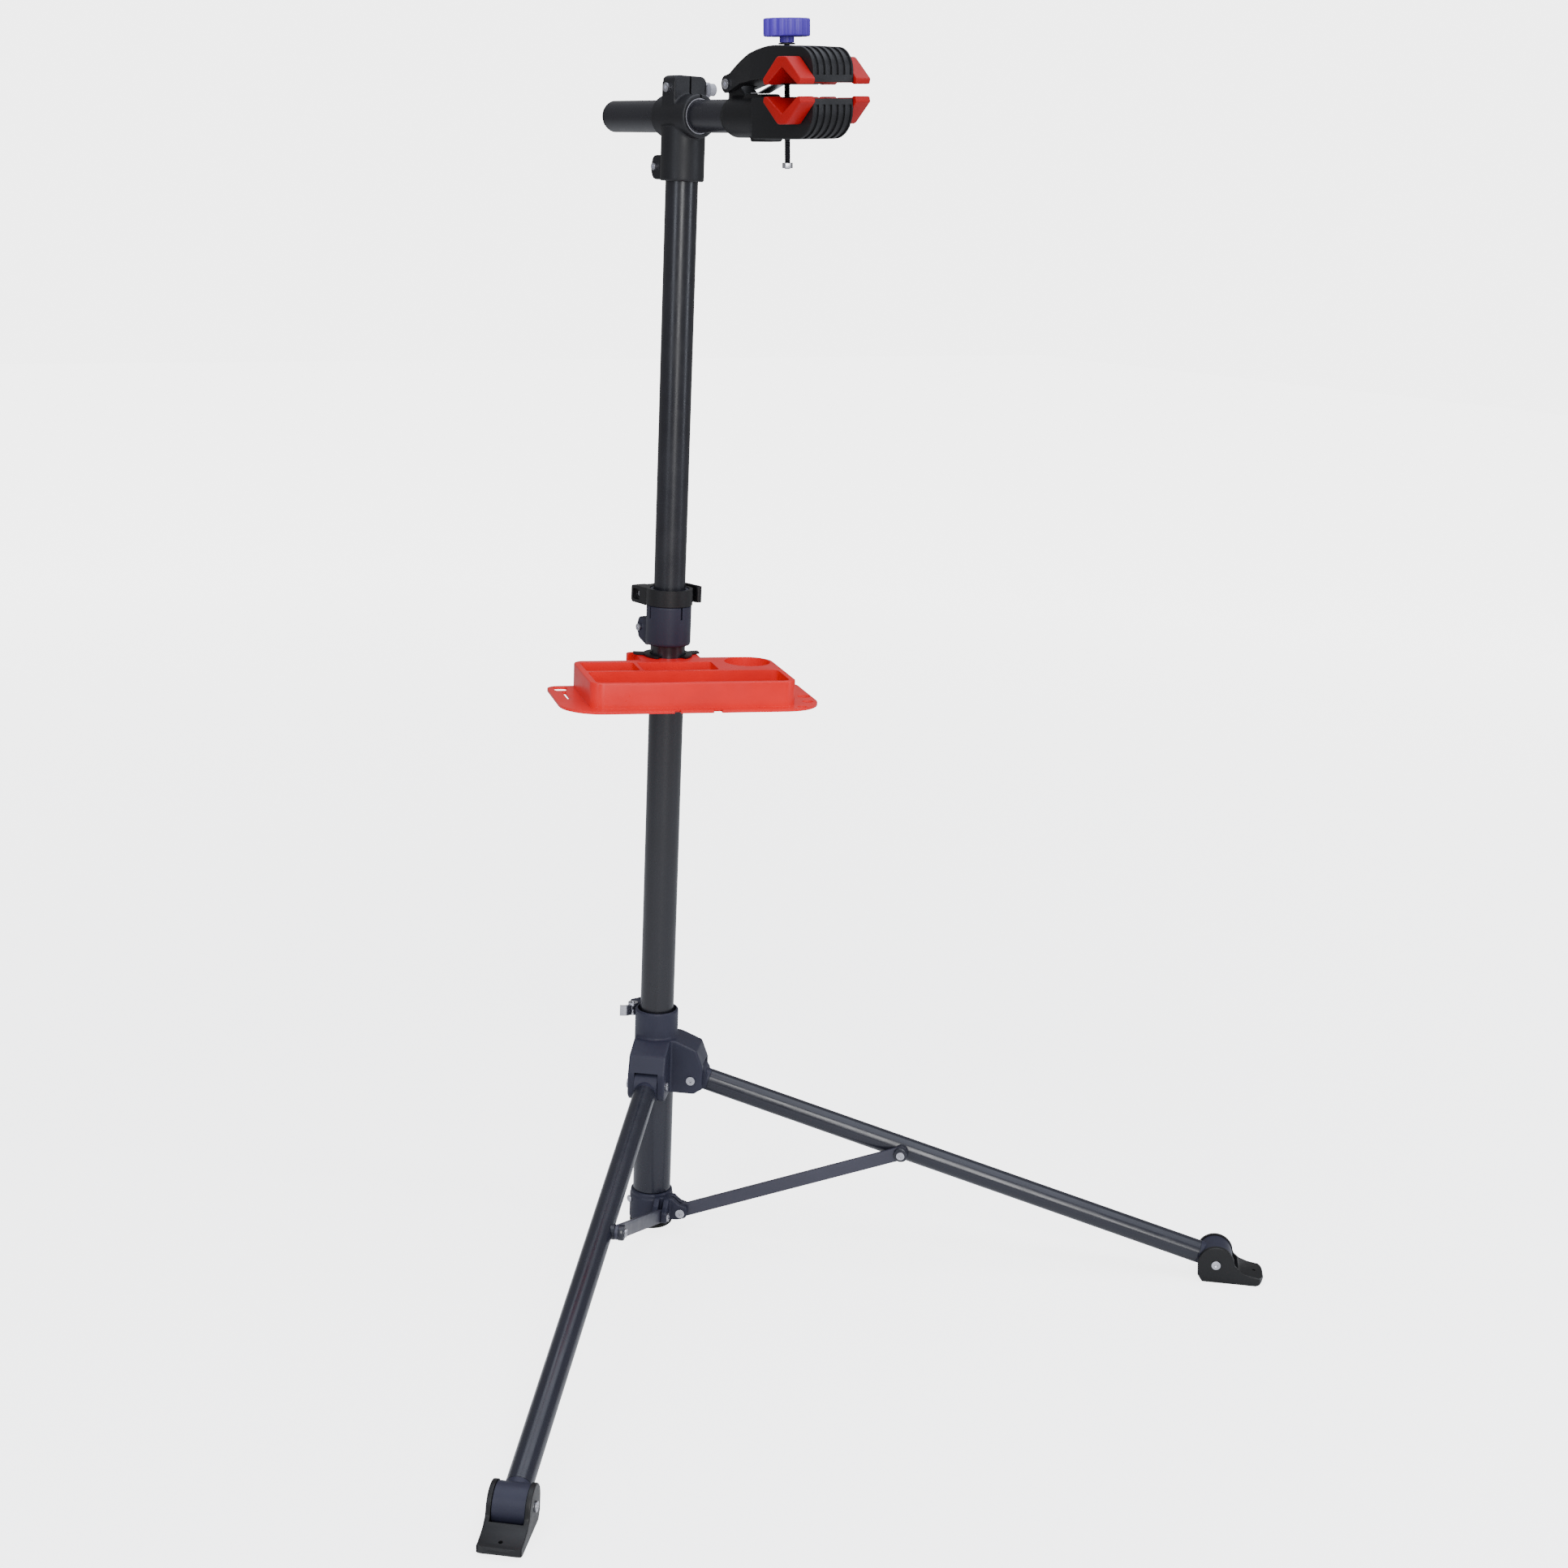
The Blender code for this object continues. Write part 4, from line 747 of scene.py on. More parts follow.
def make_hub():
    """The sliding hub: a socket with a fork for each leg and a pinch lug behind."""
    bore = SLEEVE_RADIUS + GAP
    outline = [
        (bore - 1, HUB_BOTTOM),
        (HUB_RADIUS + 1, HUB_BOTTOM),
        (HUB_RADIUS + 1, HUB_SHOULDER - 1),
        (HUB_RADIUS, HUB_SHOULDER),
        (HUB_RADIUS, HUB_TOP - 2),
        (HUB_RADIUS - 0.6, HUB_TOP),
        (bore - 1, HUB_TOP),
    ]
    hub = part("hub_casting", lathe(outline))
    fork = rounded([
        (14, 233, 0), (27, 232, 0), (50.5, 222.5, 4), (58, 203, 5), (58, 177, 8), (49, 169.5, 6),
        (14, 169.5, 0),
    ])
    for azimuth in LEG_AZIMUTHS.values():
        add(hub, turned(prism(fork, -CHEEK_HALF, CHEEK_HALF, "y"), azimuth))
    lug = rounded([(-20, 263, 0), (-44, 263, 5), (-44, 248, 5), (-20, 241, 0)])
    add(hub, prism(lug, -8, 8, "y"))
    fuse(hub, 1.1, 5)
    roof = arc(HUB_PIVOT, BARREL_RADIUS + 1, 180, 75, 4)
    opening = [(roof[0][0], 160)] + roof + [(80, roof[-1][1]), (80, 160)]
    for azimuth in LEG_AZIMUTHS.values():
        slot = prism(opening, -BARREL_HALF - GAP, BARREL_HALF + GAP, "y")
        cut(hub, turned(slot, azimuth), turned(rod(BOLT_HOLE, -40, 40, "y", HUB_PIVOT), azimuth))
    cut(
        hub,
        rod(bore, 150, 280, segments=LARGE_ROUND),
        box(-60, -17, -SLIT, SLIT, 236, 280),
        rod(BOLT_HOLE, -30, 30, "y", HUB_SKEWER),
    )
    for leg, azimuth in LEG_AZIMUTHS.items():
        shape = moved(two_headed(23.7, 21.4), x=HUB_PIVOT[0], z=HUB_PIVOT[1])
        piece = part(f"hub_bolt_{leg}", turned(shape, azimuth))
        drive_recess(piece, azimuth, HUB_PIVOT, -23.7, 1)


def make_sleeve():
    """The tube that the hub carries down over the mast."""
    part("hub_sleeve", tube(SLEEVE_RADIUS, SLEEVE_BORE, SLEEVE_BOTTOM, SLEEVE_TOP))


def make_hub_lever():
    """The bright strip lever that pinches the hub on the mast."""
    x, z = HUB_SKEWER
    path = curve([(x + 2, HUB_PIN_Y - 3), (x + 2.5, -21), (x + 2, -26), (x - 1.5, -31.5)])
    lever = part("hub_lever", prism(strip(path, 3.0), 250.5, 262.5, "z"))
    add(lever, rod(5.6, 250, 264, "z", (x, HUB_PIN_Y), MEDIUM_ROUND))
    pin_hole = rod(LEVER_PIN + GAP, 240, 280, "z", (x, HUB_PIN_Y), 12)
    cut(lever, box(x - 9, x + 9, -18.4, 0, z - 4, z + 4), pin_hole)


# Legs, struts and feet

def make_leg(leg):
    """A leg in its own frame: X runs down the leg from the hub pivot, Y across."""
    azimuth = LEG_AZIMUTHS[leg]
    side = STRUT_SIDES[leg]
    frame = frame_at(on_azimuth(azimuth, HUB_PIVOT), (0, math.degrees(LEG_SLOPE), azimuth))
    tube_start = 19.0
    tube_end = LEG_LENGTH - 21.0
    part(f"leg_tube_{leg}", tube(LEG_RADIUS, LEG_BORE, tube_start, tube_end, "x"), frame)
    far_tip = LEG_LENGTH - FITTING_REACH
    ends = (
        ("leg_top_fitting", BARREL_RADIUS, BARREL_HALF, 0.0, tube_start - GAP, FITTING_REACH),
        ("leg_end_fitting", FOOT_BARREL_RADIUS, FOOT_BARREL_HALF, LEG_LENGTH, tube_end + GAP, far_tip),
    )
    for name, radius, half, centre, shoulder, tip in ends:
        barrel = rod(radius, -half, half, "y", (centre, 0), LARGE_ROUND)
        fitting = part(f"{name}_{leg}", barrel, frame)
        add(
            fitting,
            rod(LEG_RADIUS - 0.1, *sorted((centre, shoulder)), "x", segments=LARGE_ROUND),
            rod(LEG_BORE - GAP, *sorted((centre, tip)), "x", segments=MEDIUM_ROUND),
        )
        cut(fitting, rod(BOLT_HOLE, -20, 20, "y", (centre, 0)))
    low, high = sorted((side * 8.5, side * (STRUT_INNER - GAP)))
    washer = part(
        f"leg_washer_{leg}", rod(8.0, low, high, "y", (STRUT_ON_LEG, 0), MEDIUM_ROUND), frame
    )
    cut(washer, rod(LEG_RADIUS + GAP, STRUT_ON_LEG - 15, STRUT_ON_LEG + 15, "x", segments=LARGE_ROUND))


def make_strut(leg):
    """A flat strut beside the leg, in a frame on its lower pivot: X runs up the strut."""
    azimuth = LEG_AZIMUTHS[leg]
    side = STRUT_SIDES[leg]
    frame = frame_at(on_azimuth(azimuth, STRUT_FOOT), (0, -math.degrees(STRUT_SLOPE), azimuth))
    outline = arc((0, 0), STRUT_HALF_HEIGHT, 90, 270, 7)
    outline += arc((STRUT_LENGTH, 0), STRUT_HALF_HEIGHT, -90, 90, 7)
    low, high = sorted((side * STRUT_INNER, side * STRUT_OUTER))
    bar = soften(part(f"strut_bar_{leg}", prism(outline, low, high, "y"), frame), 0.6)
    cut(bar, rod(BOLT_HOLE, -40, 40, "y"), rod(BOLT_HOLE, -40, 40, "y", (STRUT_LENGTH, 0)))
    cap = [
        (BOLT_HOLE, side * (STRUT_OUTER + GAP)),
        (8.3, side * (STRUT_OUTER + GAP)),
        (8.3, side * 23.8),
        (7.6, side * 25.0),
        (6.4, side * 25.5),
        (BOLT_HOLE, side * 25.5),
    ]
    part(f"strut_boss_{leg}", moved(lathe(cap, "y", MEDIUM_ROUND), x=STRUT_LENGTH), frame)
    shape = bolt(4.6, side * 25.8, side * 27.4, side * (STRUT_INNER + GAP))
    piece = part(f"strut_bolt_{leg}", moved(shape, x=STRUT_LENGTH), frame)
    drive_recess(piece, 0, (STRUT_LENGTH, 0), side * 27.4, -side)


def make_foot(leg):
    """A shoe that swivels on the leg's end; X runs outward and Z up from the bolt."""
    azimuth = LEG_AZIMUTHS[leg]
    frame = frame_at(on_azimuth(azimuth, FOOT_PIVOT), (0, 0, azimuth))
    sole = -FOOT_PIVOT[1]
    outline = [(-14, sole), (46, sole), (52.5, sole + 3), (55, sole + 7), (53, sole + 10)]
    outline += [(47, -11.5), (37, -9.6), (28.5, -6.5), (21.6, -1)]
    outline += arc((0, 0), 20.5, 8, 176, 12)
    outline += [(-19.4, sole + 8)]
    shoe = part(f"foot_shoe_{leg}", prism(outline, -20.5, 20.5, "y"), frame)
    soften(shoe, 1.2)
    toe_width = 40.0
    arch_radius = 36.0
    arch = arc((55.4 - arch_radius, 0), arch_radius, -34, 34, 6)
    blank = [(90, toe_width)] + [(90, -toe_width)] + arch
    slot_half = FOOT_BARREL_HALF + 0.6
    wall = FOOT_BARREL_RADIUS + 0.6
    slot = [(-30, -wall), (wall, -wall), (wall, -7.5), (25.5, -4), (45, 30), (-30, 30)]
    cut(
        shoe,
        prism(slot, -slot_half, slot_half, "y"),
        rod(BOLT_HOLE, -30, 30, "y"),
        rod(2.0, sole - 5, 0, "z", (44, 0), 12),
        prism(blank, sole - 5, 5),
    )
    piece = part(f"foot_bolt_{leg}", two_headed(22.4, 20.8), frame)
    drive_recess(piece, 0, (0, 0), -22.4, 1)
    drive_recess(piece, 0, (0, 0), 22.4, -1)


# Tool tray

def make_tray():
    """A moulded tray with compartments, a cup hole, a drilled shelf and an open-backed neck."""
    frame = frame_at((0, 0, 0), (0, 0, TRAY_AZIMUTH))
    body = rounded([(24, -110, 12), (144, -110, 14), (144, 110, 14), (11, 110, 26), (11, 30, 0), (24, 30, 0)])
    tray = part("tool_tray", prism(body, TRAY_BOTTOM, TRAY_TOP), frame)
    soften(tray, 1.5, 3)
    shelf = rounded([(26, -139, 14), (156, -139, 42), (156, 139, 42), (26, 139, 14)])
    neck = rounded([(-22, -34, 8), (30, -34, 0), (30, 34, 0), (-22, 34, 8)])
    hook = arc((-13, -35), 8.5, 20, 300, 10) + arc((-13, -35), 5.0, 300, 20, 8)
    add(
        tray,
        prism(shelf, TRAY_BOTTOM, TRAY_SHELF_TOP),
        prism(neck, 654, TRAY_TOP),
        prism(hook, 660, TRAY_TOP),
    )
    pockets = (
        (rectangle(36, 79, -104, -46, 4), TRAY_SHELF_TOP),
        (rectangle(37, 79, -42, 40, 4), TRAY_SHELF_TOP),
        (rectangle(83, 139, -104, 103, 7), TRAY_SHELF_TOP),
        (circle(CUP_CENTRE, CUP_RADIUS, LARGE_ROUND), 600),
    )
    for outline, floor in pockets:
        cut(tray, prism(outline, floor, 700))
    cut(tray, rod(TRAY_MAST_BORE, 600, 700, segments=LARGE_ROUND))
    cut(tray, prism(rounded([(-40, -15, 0), (-8, -12, 0), (-8, 12, 0), (-40, 15, 0)]), 600, 700))
    for forward, across, radius in ((96, 130, 7), (121, 128, 6), (146, 115, 5)):
        cut(tray, rod(radius, 600, 700, "z", (forward, across)))
    cut(tray, prism(rectangle(31, 50, -132, -118, 3), 600, 700))
    cut(tray, prism(rectangle(56, 92, -126, -122.5, 1.7), 600, 700))
    cut(tray, prism(rectangle(43, 74, 121, 124.5, 1.7), 600, 700))
    for across, width in ((-21, 7), (22, 9)):
        cut(tray, box(149, 170, across - width / 2, across + width / 2, 600, 645.99))
    clip = arc((0, 0), 27, 35, 325, 14) + arc((0, 0), TRAY_MAST_BORE + 0.4, 325, 35, 14)
    spring = part("tray_clip", prism(clip, TRAY_TOP + 0.4, TRAY_TOP + 2.6), frame)
    ears = [(-14, -36), (-5, -37), (2, -22), (-10, -22)]
    add(spring, prism(ears, TRAY_TOP + 0.4, TRAY_TOP + 2.6))
    add(spring, prism([(x, -y) for x, y in ears], TRAY_TOP + 0.4, TRAY_TOP + 2.6))


# Upper mast and head

def make_upper_mast():
    """The mast's upper tube and the bush that guides its lower end."""
    bush = [
        (9, 440), (16.3, 440), (17.1, 441), (17.1, UPPER_TUBE_BOTTOM - GAP),
        (UPPER_TUBE_BORE - GAP, UPPER_TUBE_BOTTOM - GAP), (UPPER_TUBE_BORE - GAP, 470), (9, 470),
    ]
    part("glide_bush", lathe(bush))
    part("upper_tube", tube(UPPER_TUBE_RADIUS, UPPER_TUBE_BORE, UPPER_TUBE_BOTTOM, UPPER_TUBE_TOP))


def make_head():
    """The T-shaped head: a socket on the mast, a split barrel round the arm and pinch lugs."""
    socket = [(0, HEAD_SOCKET_BOTTOM), (HEAD_SOCKET_RADIUS - 1, HEAD_SOCKET_BOTTOM)]
    socket += [(HEAD_SOCKET_RADIUS, HEAD_SOCKET_BOTTOM + 1), (HEAD_SOCKET_RADIUS, 1232), (0, 1232)]
    head = part("head_casting", lathe(socket))
    edge = HEAD_BARREL_RADIUS - HEAD_CHAMFER
    half = HEAD_BARREL_HALF
    inset = half - HEAD_CHAMFER
    barrel = [
        (0, -half), (edge, -half), (HEAD_BARREL_RADIUS, -inset), (HEAD_BARREL_RADIUS, inset),
        (edge, half), (0, half),
    ]
    block = rounded([(-20, 1246, 0), (20.5, 1246, 0), (20.5, HEAD_TOP, 7), (-20, HEAD_TOP, 7)])
    lug = rounded([(-15, 1203, 0), (-36, 1203, 7), (-40, 1190, 6), (-36, 1178, 7), (-15, 1178, 0)])
    add(
        head,
        moved(lathe(barrel, "x"), z=ARM_HEIGHT),
        prism(block, -12, 10.5, "x"),
        prism(lug, -13, 13, "y"),
    )
    fuse(head, 1.0, 5)
    cut(
        head,
        rod(ARM_BUSH_RADIUS + GAP, -60, 60, "x", (0, ARM_HEIGHT), LARGE_ROUND),
        rod(UPPER_TUBE_RADIUS + GAP, 1100, UPPER_TUBE_TOP + 1, segments=LARGE_ROUND),
        box(-60, 60, -SLIT, SLIT, ARM_HEIGHT + 2, 1300),
        box(-60, -15.2, -SLIT, SLIT, 1150, 1206),
        rod(BOLT_HOLE, -40, 40, "y", CLAMP_BOLT),
        rod(BOLT_HOLE, -40, 40, "y", HEAD_SCREW),
    )
    shape = moved(bolt(3.8, -13.3, -15.4, 11), x=HEAD_SCREW[0], z=HEAD_SCREW[1])
    drive_recess(part("head_screw", shape), 0, HEAD_SCREW, -15.4, 1, 2.0)
    shape = moved(bolt(4.6, -20.3, -22.8, 33), x=CLAMP_BOLT[0], z=CLAMP_BOLT[1])
    drive_recess(part("clamp_bolt", shape), 0, CLAMP_BOLT, -22.8, 1)


def make_wing_nut():
    """The two-winged nut that tightens the head on the arm."""
    x, z = CLAMP_BOLT
    wings = arc((12.5, 0), 6.5, -75, 75, 6) + arc((0, 0), 8, 35, 145, 4) + arc((-12.5, 0), 6.5, 105, 255, 6)
    wings += arc((0, 0), 8, 215, 325, 4)
    shape = moved(prism(wings, 22, 29.5, "y"), x=x, z=z)
    nut = soften(part("wing_nut", shape), 1.0)
    add(nut, rod(8, 20.9, 31, "y", CLAMP_BOLT, MEDIUM_ROUND))
    cut(nut, rod(BOLT_HOLE, 10, 40, "y", CLAMP_BOLT))


# Arm and clamp

def make_arm(frame):
    """The side arm's tube, its end cap and its liner in the head."""
    half = HEAD_BARREL_HALF - 1
    part("arm_bush", tube(ARM_BUSH_RADIUS, ARM_RADIUS + GAP, -half, half, "x"), frame)
    cap_face = ARM_LEFT + 5.7
    part("arm_tube", tube(ARM_RADIUS, ARM_BORE, cap_face + GAP, ARM_TUBE_END, "x"), frame)
    cap = [
        (0, ARM_LEFT),
        (ARM_RADIUS - 4, ARM_LEFT),
        (ARM_RADIUS - 1.2, ARM_LEFT + 1.2),
        (ARM_RADIUS, ARM_LEFT + 4),
        (ARM_RADIUS, cap_face),
        (ARM_BORE - GAP, cap_face),
        (ARM_BORE - GAP, cap_face + 13),
        (0, cap_face + 13),
    ]
    part("arm_end_cap", lathe(cap, "x"), frame)


def vee_notch(apex, open_to):
    """A triangle that widens from the apex height to the opening height."""
    reach = abs(open_to - apex) / VEE_SLOPE
    return [(VEE_X, apex), (VEE_X + reach, open_to), (VEE_X - reach, open_to)]


def nose_grooves(profile, inset):
    """Cutters for the parallel grooves that wrap over a jaw's nose."""
    outside = [(x + 8 if x > VEE_X else x, z + inset * 8) for x, z in profile]
    cutters = []
    for index in range(GROOVES):
        centre = (index - (GROOVES - 1) / 2) * GROOVE_PITCH
        cutters.append(
            prism(profile + outside[::-1], centre - GROOVE_WIDTH / 2, centre + GROOVE_WIDTH / 2, "y")
        )
    return cutters


def make_lower_jaw(frame):
    """The fixed jaw: a neck on the arm, a notched block, and a post for the other jaw's pin."""
    neck = [
        (0, 90), (18.4, 90), (21, 97), (21, JAW_BACK + 4), (0, JAW_BACK + 4),
    ]
    jaw = part("lower_jaw", lathe(neck, "x"), frame)
    block = rounded([
        (JAW_BACK, JAW_BOTTOM, 4), (JAW_FRONT, JAW_BOTTOM, NOSE_LOWER), (JAW_FRONT, JAW_LOWER_TOP, 3),
        (JAW_BACK, JAW_LOWER_TOP, 4),
    ])
    post = [(91, 12)] + [(JAW_PIN[0] - 8.2, 28)] + arc(JAW_PIN, 8.2, 180, 20, 8) + [(122, 18), (122, 12)]
    boss = rounded([(124, -14, 0), (126, -24.6, 2), (158, -24.6, 2), (160, -14, 0)])
    ledge = rounded([(121, 10, 0), (121, 21, 2), (150, 21, 2), (156, 10, 0)])
    add(
        jaw,
        prism(block, -JAW_HALF_WIDTH, JAW_HALF_WIDTH, "y"),
        prism(post, -8.5, 8.5, "y"),
        prism(boss, -8, 8, "y"),
        prism(ledge, -12, 12, "y"),
    )
    fuse(jaw, 1.0, 5)
    notch_apex = VEE_LOWER - PAD_LINER - GAP
    cut(
        jaw,
        rod(ARM_RADIUS + GAP, 60, ARM_TUBE_END + 1, "x", segments=LARGE_ROUND),
        prism(vee_notch(notch_apex, 40), -40, 40, "y"),
        rod(ROD_RADIUS + GAP, -60, 60, "z", (ROD_X, 0)),
        rod(6.6, -40, -12, "z", (ROD_X, 0), MEDIUM_ROUND),
        rod(BOLT_HOLE, -30, 30, "y", JAW_PIN),
    )
    nose = (JAW_FRONT - NOSE_LOWER, JAW_BOTTOM + NOSE_LOWER)
    profile = [(JAW_FRONT - GROOVE_DEPTH, 12)] + arc(nose, NOSE_LOWER - GROOVE_DEPTH, 0, -78, 5)
    cut(jaw, *nose_grooves(profile, -1))


def make_upper_jaw(frame):
    """The arched lever jaw, hinged behind and slotted for the rod."""
    arch = arc(JAW_PIN, 9.2, 250, 120, 8)
    arch += curve([
        (101, 40.5), (117, 48), (132, 54), (147, 59), (162, 62.8), (177, 65.2), (190, JAW_UPPER_TOP),
    ])
    nose = (JAW_FRONT - NOSE_UPPER, NOSE_TOP - NOSE_UPPER)
    arch += arc(nose, NOSE_UPPER, 84, 0, 5)
    arch += [(JAW_FRONT, JAW_UPPER_BOTTOM), (192, JAW_UPPER_BOTTOM), (168, 35.5), (125, 31)]
    jaw = part("upper_jaw", prism(arch, -JAW_HALF_WIDTH, JAW_HALF_WIDTH, "y"), frame)
    soften(jaw, 2.5)
    tail = [(70, -15.5), (104, -15.5), (150, -24.5), (150, -40), (70, -40)]
    slot = [(171, 70), (173, 20), (185, 20), (193.5, 70)]
    cut(
        jaw,
        prism(tail, 0, 90),
        prism([(x, -y) for x, y in tail], 0, 90),
        box(60, 118, -8.9, 8.9, 0, 90),
        prism(slot, -3.7, 3.7, "y"),
        prism(vee_notch(VEE_UPPER + PAD_LINER + GAP, 10), -40, 40, "y"),
        rod(BOLT_HOLE, -30, 30, "y", JAW_PIN),
    )
    profile = [(JAW_FRONT - GROOVE_DEPTH, 36)]
    profile += arc(nose, NOSE_UPPER - GROOVE_DEPTH, 0, 84, 5)
    profile += [(212, JAW_UPPER_TOP - GROOVE_DEPTH - 1)]
    cut(jaw, *nose_grooves(profile, 1))


def make_pads(frame):
    """Four V-shaped pads: two low ones on the fixed jaw and two on the lever jaw."""
    for jaw, apex, opening in (("lower", VEE_LOWER, 1), ("upper", VEE_UPPER, -1)):
        rise = PAD_HALF * VEE_SLOPE
        lip = 18.3 - VEE_LOWER
        inner = lip / VEE_SLOPE
        back = VEE_THICKNESS
        corners = [
            (-inner, lip, 0), (0, 0, 1.2), (inner, lip, 0), (PAD_HALF - 1.5, lip - 0.4, 1.5),
            (PAD_HALF, rise - back, 2), (7, -back - 0.6, 7), (-7, -back - 0.6, 7),
            (-PAD_HALF, rise - back, 2),
            (-PAD_HALF + 1.5, lip - 0.4, 1.5),
        ]
        outline = [(VEE_X + x, apex + opening * z) for x, z in rounded(corners)]
        liner_reach = 22.0
        liner = [
            (-liner_reach, liner_reach * VEE_SLOPE), (0, 0), (liner_reach, liner_reach * VEE_SLOPE),
            (liner_reach, liner_reach * VEE_SLOPE - PAD_LINER), (0, -PAD_LINER),
            (-liner_reach, liner_reach * VEE_SLOPE - PAD_LINER),
        ]
        lining = [(VEE_X + x, apex + opening * z) for x, z in liner]
        for number, side in ((1, -1), (2, 1)):
            low, high = sorted((side * (JAW_HALF_WIDTH + GAP), side * PAD_END))
            pad = part(f"{jaw}_pad_{number}", prism(outline, low, high, "y"), frame)
            soften(pad, 1.8, 4)
            low, high = sorted((side * PAD_INNER, side * (JAW_HALF_WIDTH + 4)))
            add(pad, prism(lining, low, high, "y"))


def make_jaw_fittings(frame):
    """The jaws' hinge pin, the leaf spring under the lever jaw and the nut inside the fixed one."""
    shape = moved(two_headed(17.6, 15.8), x=JAW_PIN[0], z=JAW_PIN[1])
    drive_recess(part("jaw_pin", shape, frame), 0, JAW_PIN, -17.6, 1)
    leaf = strip([(127, 22.0), (139, 22.0), (155, 27.2), (170, 32.0)], 1.2)
    part("spring_strip", prism(leaf, -7, 7, "y"), frame)
    nut = part("captive_nut", rod(6.0, -20, -13, "z", (ROD_X, 0), 6), frame)
    cut(nut, rod(ROD_RADIUS + GAP, -60, 60, "z", (ROD_X, 0)))


def make_clamp_screw(frame):
    """The threaded rod with its end nut, the fluted knob and the washer it presses on."""
    washer_low = JAW_UPPER_TOP + 1.0
    washer_high = washer_low + 1.5
    washer = moved(tube(8.2, ROD_RADIUS + GAP, washer_low, washer_high, "z", MEDIUM_ROUND), x=ROD_X)
    part("thrust_washer", washer, frame)
    nut_low = ROD_BOTTOM + 0.6
    nut_high = ROD_BOTTOM + 6
    thread = [(0, ROD_BOTTOM), (ROD_RADIUS - 0.5, ROD_BOTTOM)]
    crest = ROD_BOTTOM + THREAD_PITCH / 2
    while crest < KNOB_BOTTOM - 4:
        thread += [(ROD_RADIUS, crest), (ROD_RADIUS - THREAD_DEPTH, crest + THREAD_PITCH / 2)]
        crest += THREAD_PITCH
    thread += [(ROD_RADIUS, KNOB_BOTTOM - 3), (ROD_RADIUS, KNOB_TOP - 4), (0, KNOB_TOP - 4)]
    part("clamp_screw", moved(lathe(thread, "z", SMALL_ROUND), x=ROD_X), frame)
    end_nut = rod(5.4, nut_low, nut_high, "z", (ROD_X, 0), 6)
    piece = part("clamp_screw", end_nut, frame, "end_nut", "bright_steel")
    soften(piece, 0.5)
    cut(piece, rod(ROD_RADIUS + 0.05, nut_low - 5, nut_high + 5, "z", (ROD_X, 0)))
    points = []
    steps = KNOB_FLUTES * 12
    for step in range(steps):
        angle = 2 * math.pi * step / steps
        radius = KNOB_RADIUS - FLUTE_DEPTH * (0.5 - 0.5 * math.cos(KNOB_FLUTES * angle)) ** 2
        points.append((ROD_X + radius * math.cos(angle), radius * math.sin(angle)))
    knob = part("clamp_knob", prism(points, KNOB_BOTTOM, KNOB_TOP), frame)
    soften(knob, 1.6)
    dish = [
        (0, KNOB_TOP - 1.0), (KNOB_RADIUS - 6.5, KNOB_TOP - 1.0), (KNOB_RADIUS - 5.5, KNOB_TOP + 1),
        (0, KNOB_TOP + 1),
    ]
    cut(knob, moved(lathe(dish, "z", LARGE_ROUND), x=ROD_X))
    add(knob, rod(7.2, washer_high + GAP, KNOB_BOTTOM + 2, "z", (ROD_X, 0), MEDIUM_ROUND))
    cut(knob, rod(ROD_RADIUS + GAP, 50, KNOB_TOP - 3, "z", (ROD_X, 0)))


def build():
    """Make every piece, from the floor up."""
    make_foot_pad()
    make_bracket()
    make_bracket_fasteners()
    make_middle_tube()
    make_collar()
    make_collar_band()
    make_quick_release("collar", COLLAR_SKEWER, COLLAR_PIN_Y, -17.5, None, 729.5, 748.5)
    make_collar_lever()
    make_hub()
    make_sleeve()
    make_quick_release("hub", HUB_SKEWER, HUB_PIN_Y, 12.5, 8.4, 248.6, 265.4)
    make_hub_lever()
    for leg in LEG_AZIMUTHS:
        make_leg(leg)
        make_strut(leg)
        make_foot(leg)
    make_tray()
    make_upper_mast()
    make_head()
    make_wing_nut()
    arm_frame = frame_at((0, 0, ARM_HEIGHT), (ARM_ROLL, 0, 0))
    make_arm(arm_frame)
    make_lower_jaw(arm_frame)
    make_upper_jaw(arm_frame)
    make_pads(arm_frame)
    make_jaw_fittings(arm_frame)
    make_clamp_screw(arm_frame)


# Camera, floor and light

def make_camera():
    """The eye is given in metres; yaw, pitch and roll are its measured directions in degrees."""
    eye = Vector((2.034, -1.4136, 1.1634))
    yaw, pitch, roll = (math.radians(angle) for angle in (142.102, 14.299, 2.489))
    forward = Vector((math.cos(yaw) * math.cos(pitch), math.sin(yaw) * math.cos(pitch), -math.sin(pitch)))
    right = Vector((math.sin(yaw), -math.cos(yaw), 0))
    down = forward.cross(right)
    side = right * math.cos(roll) - down * math.sin(roll)
    up = -(right * math.sin(roll) + down * math.cos(roll))
    data = bpy.data.cameras.new("camera")
    data.sensor_width = 36.0
    data.lens = 52.62
    camera = bpy.data.objects.new("camera", data)
    rotation = Matrix((side, up, -forward)).transposed()
    camera.matrix_world = Matrix.Translation(eye) @ rotation.to_4x4()
    bpy.context.scene.collection.objects.link(camera)
    bpy.context.scene.camera = camera


def seen_directly(tree):
    """A socket that is 1 for what the camera sees itself and 0 for light and reflections."""
    return tree.nodes.new("ShaderNodeLightPath").outputs["Is Camera Ray"]


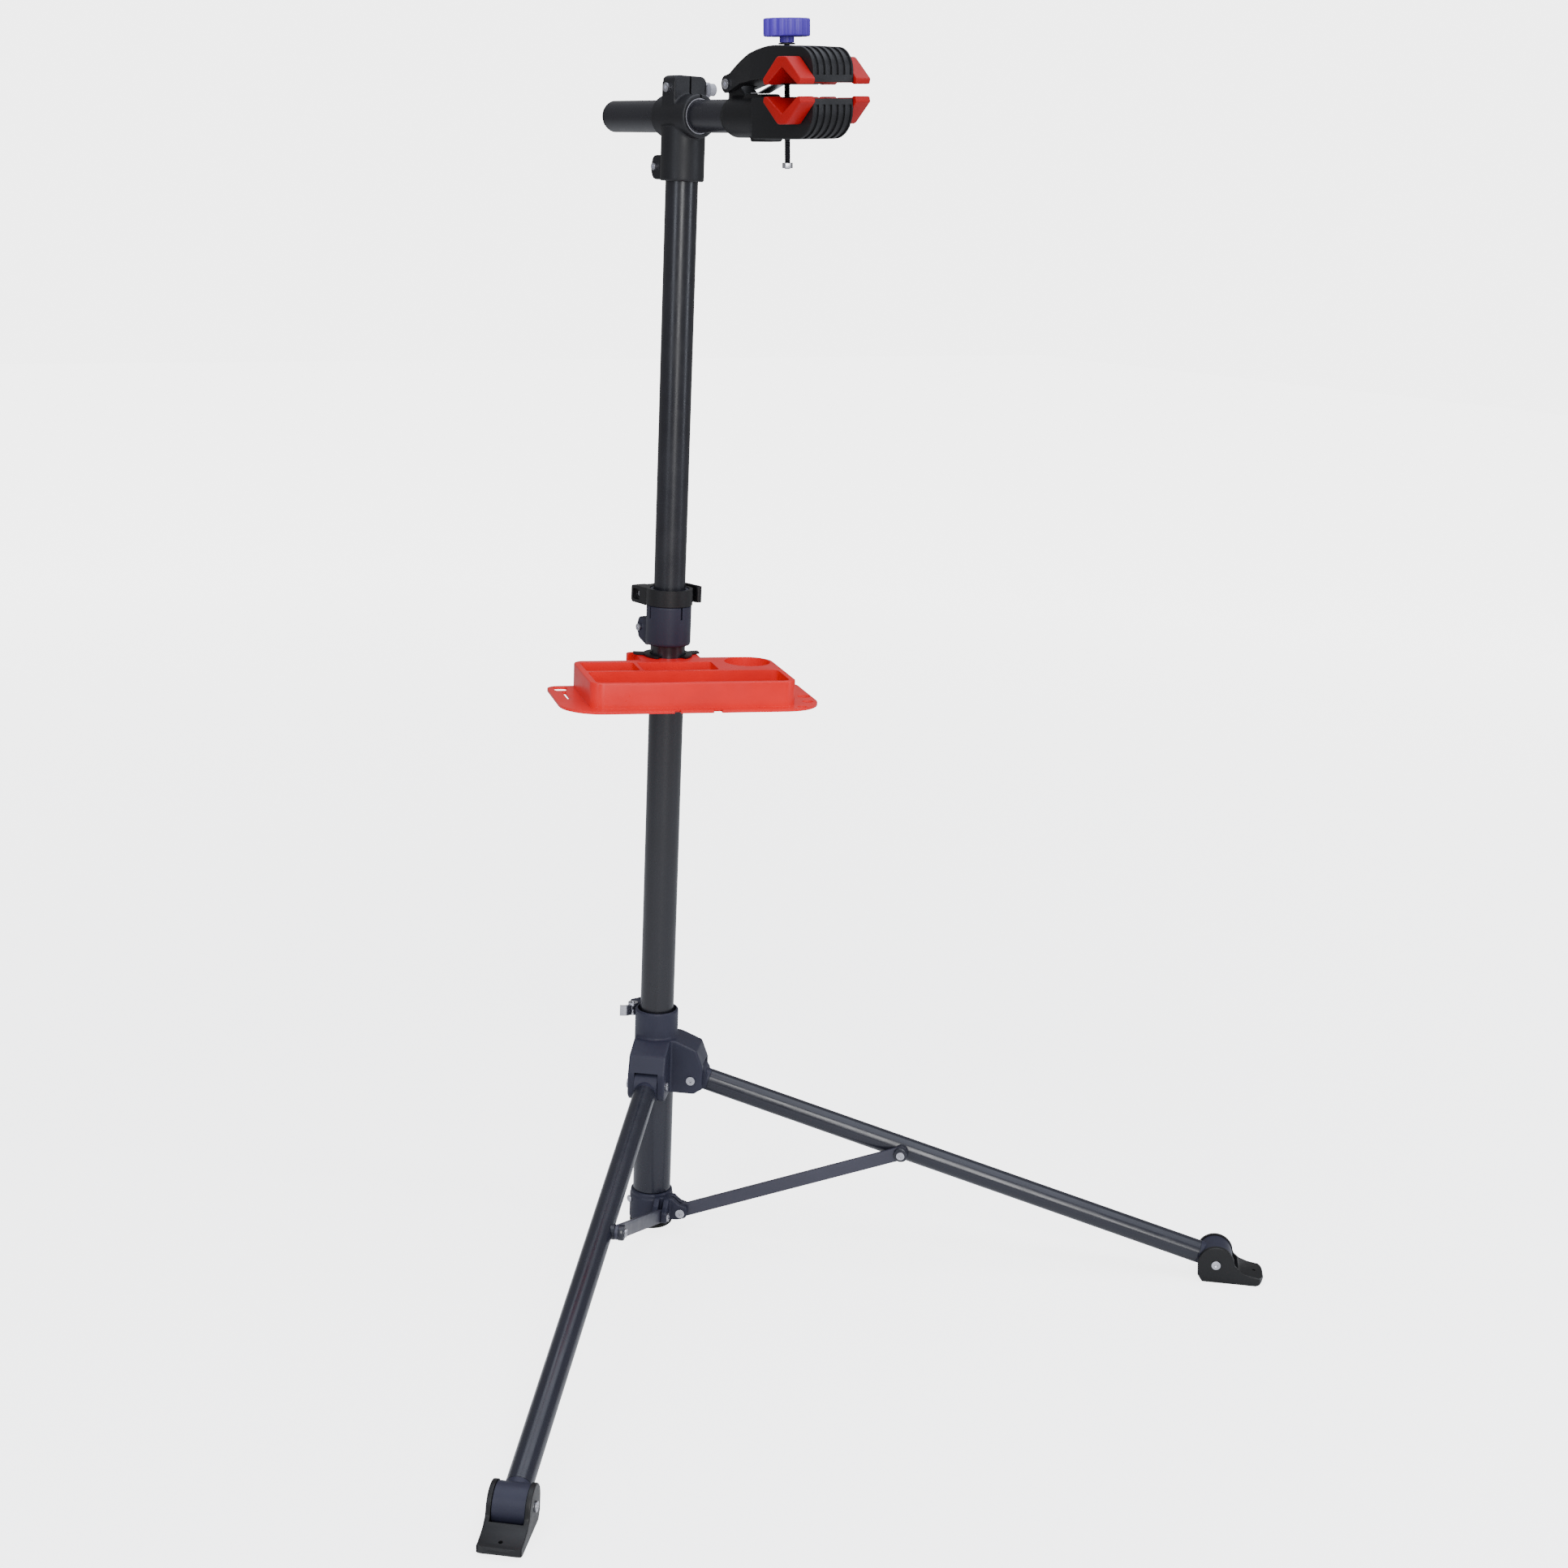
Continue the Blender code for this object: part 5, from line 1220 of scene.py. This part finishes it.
def make_floor():
    """A wide pale floor with a faint mottle, lifted to the backdrop's white where the camera sees it."""
    mesh = bmesh.new()
    bmesh.ops.create_grid(mesh, x_segments=2, y_segments=2, size=FLOOR_HALF)
    data = bpy.data.meshes.new("floor")
    mesh.to_mesh(data)
    mesh.free()
    floor = bpy.data.objects.new("floor", data)
    bpy.context.scene.collection.objects.link(floor)
    nodes = Nodes("pale_floor")
    mottle = nodes.noise(3.0, 3.0)
    nodes.plug(
        nodes.shader.inputs["Base Color"], nodes.mix(mottle, (0.84, 0.84, 0.84, 1), (0.88, 0.88, 0.88, 1))
    )
    nodes.shader.inputs["Roughness"].default_value = 0.9
    nodes.shader.inputs["Specular IOR Level"].default_value = 0.1
    nodes.shader.inputs["Emission Color"].default_value = (1.0, 1.0, 1.0, 1.0)
    distance = nodes.add("ShaderNodeVectorMath", operation="LENGTH")
    nodes.plug(distance.inputs[0], nodes.place)
    far_lift = nodes.spread(distance.outputs["Value"], FLOOR_LIFT, BACKDROP - 0.1, *FLOOR_FADE)
    lift = nodes.spread(seen_directly(nodes.tree), 0.0, far_lift, 0.0, 1.0)
    nodes.plug(nodes.shader.inputs["Emission Strength"], lift)
    data.materials.append(nodes.material)


def area_light(name, place, target, size, power, colour=(1.0, 1.0, 1.0)):
    """A soft box aimed at a point; places and sizes are in metres and power in watts."""
    data = bpy.data.lights.new(name, "AREA")
    data.shape = "RECTANGLE"
    data.size, data.size_y = size
    data.energy = power
    data.color = colour
    light = bpy.data.objects.new(name, data)
    light.location = place
    light.rotation_euler = (Vector(target) - Vector(place)).to_track_quat("-Z", "Y").to_euler()
    bpy.context.scene.collection.objects.link(light)


def make_lights():
    """A white backdrop that lights the object only dimly, and soft boxes around the camera."""
    world = bpy.data.worlds.new("studio")
    world.use_nodes = True
    tree = world.node_tree
    background = tree.nodes["Background"]
    background.inputs["Color"].default_value = (1.0, 1.0, 1.0, 1.0)
    strength = tree.nodes.new("ShaderNodeMapRange")
    strength.inputs["To Min"].default_value = ROOM_LIGHT
    strength.inputs["To Max"].default_value = BACKDROP
    tree.links.new(seen_directly(tree), strength.inputs["Value"])
    tree.links.new(strength.outputs["Result"], background.inputs["Strength"])
    bpy.context.scene.world = world
    middle = (0.1, 0.0, 0.7)
    area_light("key", (3.1, -1.6, 2.0), middle, (0.8, 2.6), 85)
    area_light("left", (0.9, -3.0, 1.8), middle, (0.7, 2.2), 30, COOL)
    area_light("right", (2.6, 1.9, 1.7), middle, (0.5, 2.2), 30, COOL)
    area_light("top", (0.3, 0.2, 3.2), middle, (3.6, 3.6), 95, COOL)


build()
settle()
make_camera()
make_floor()
make_lights()
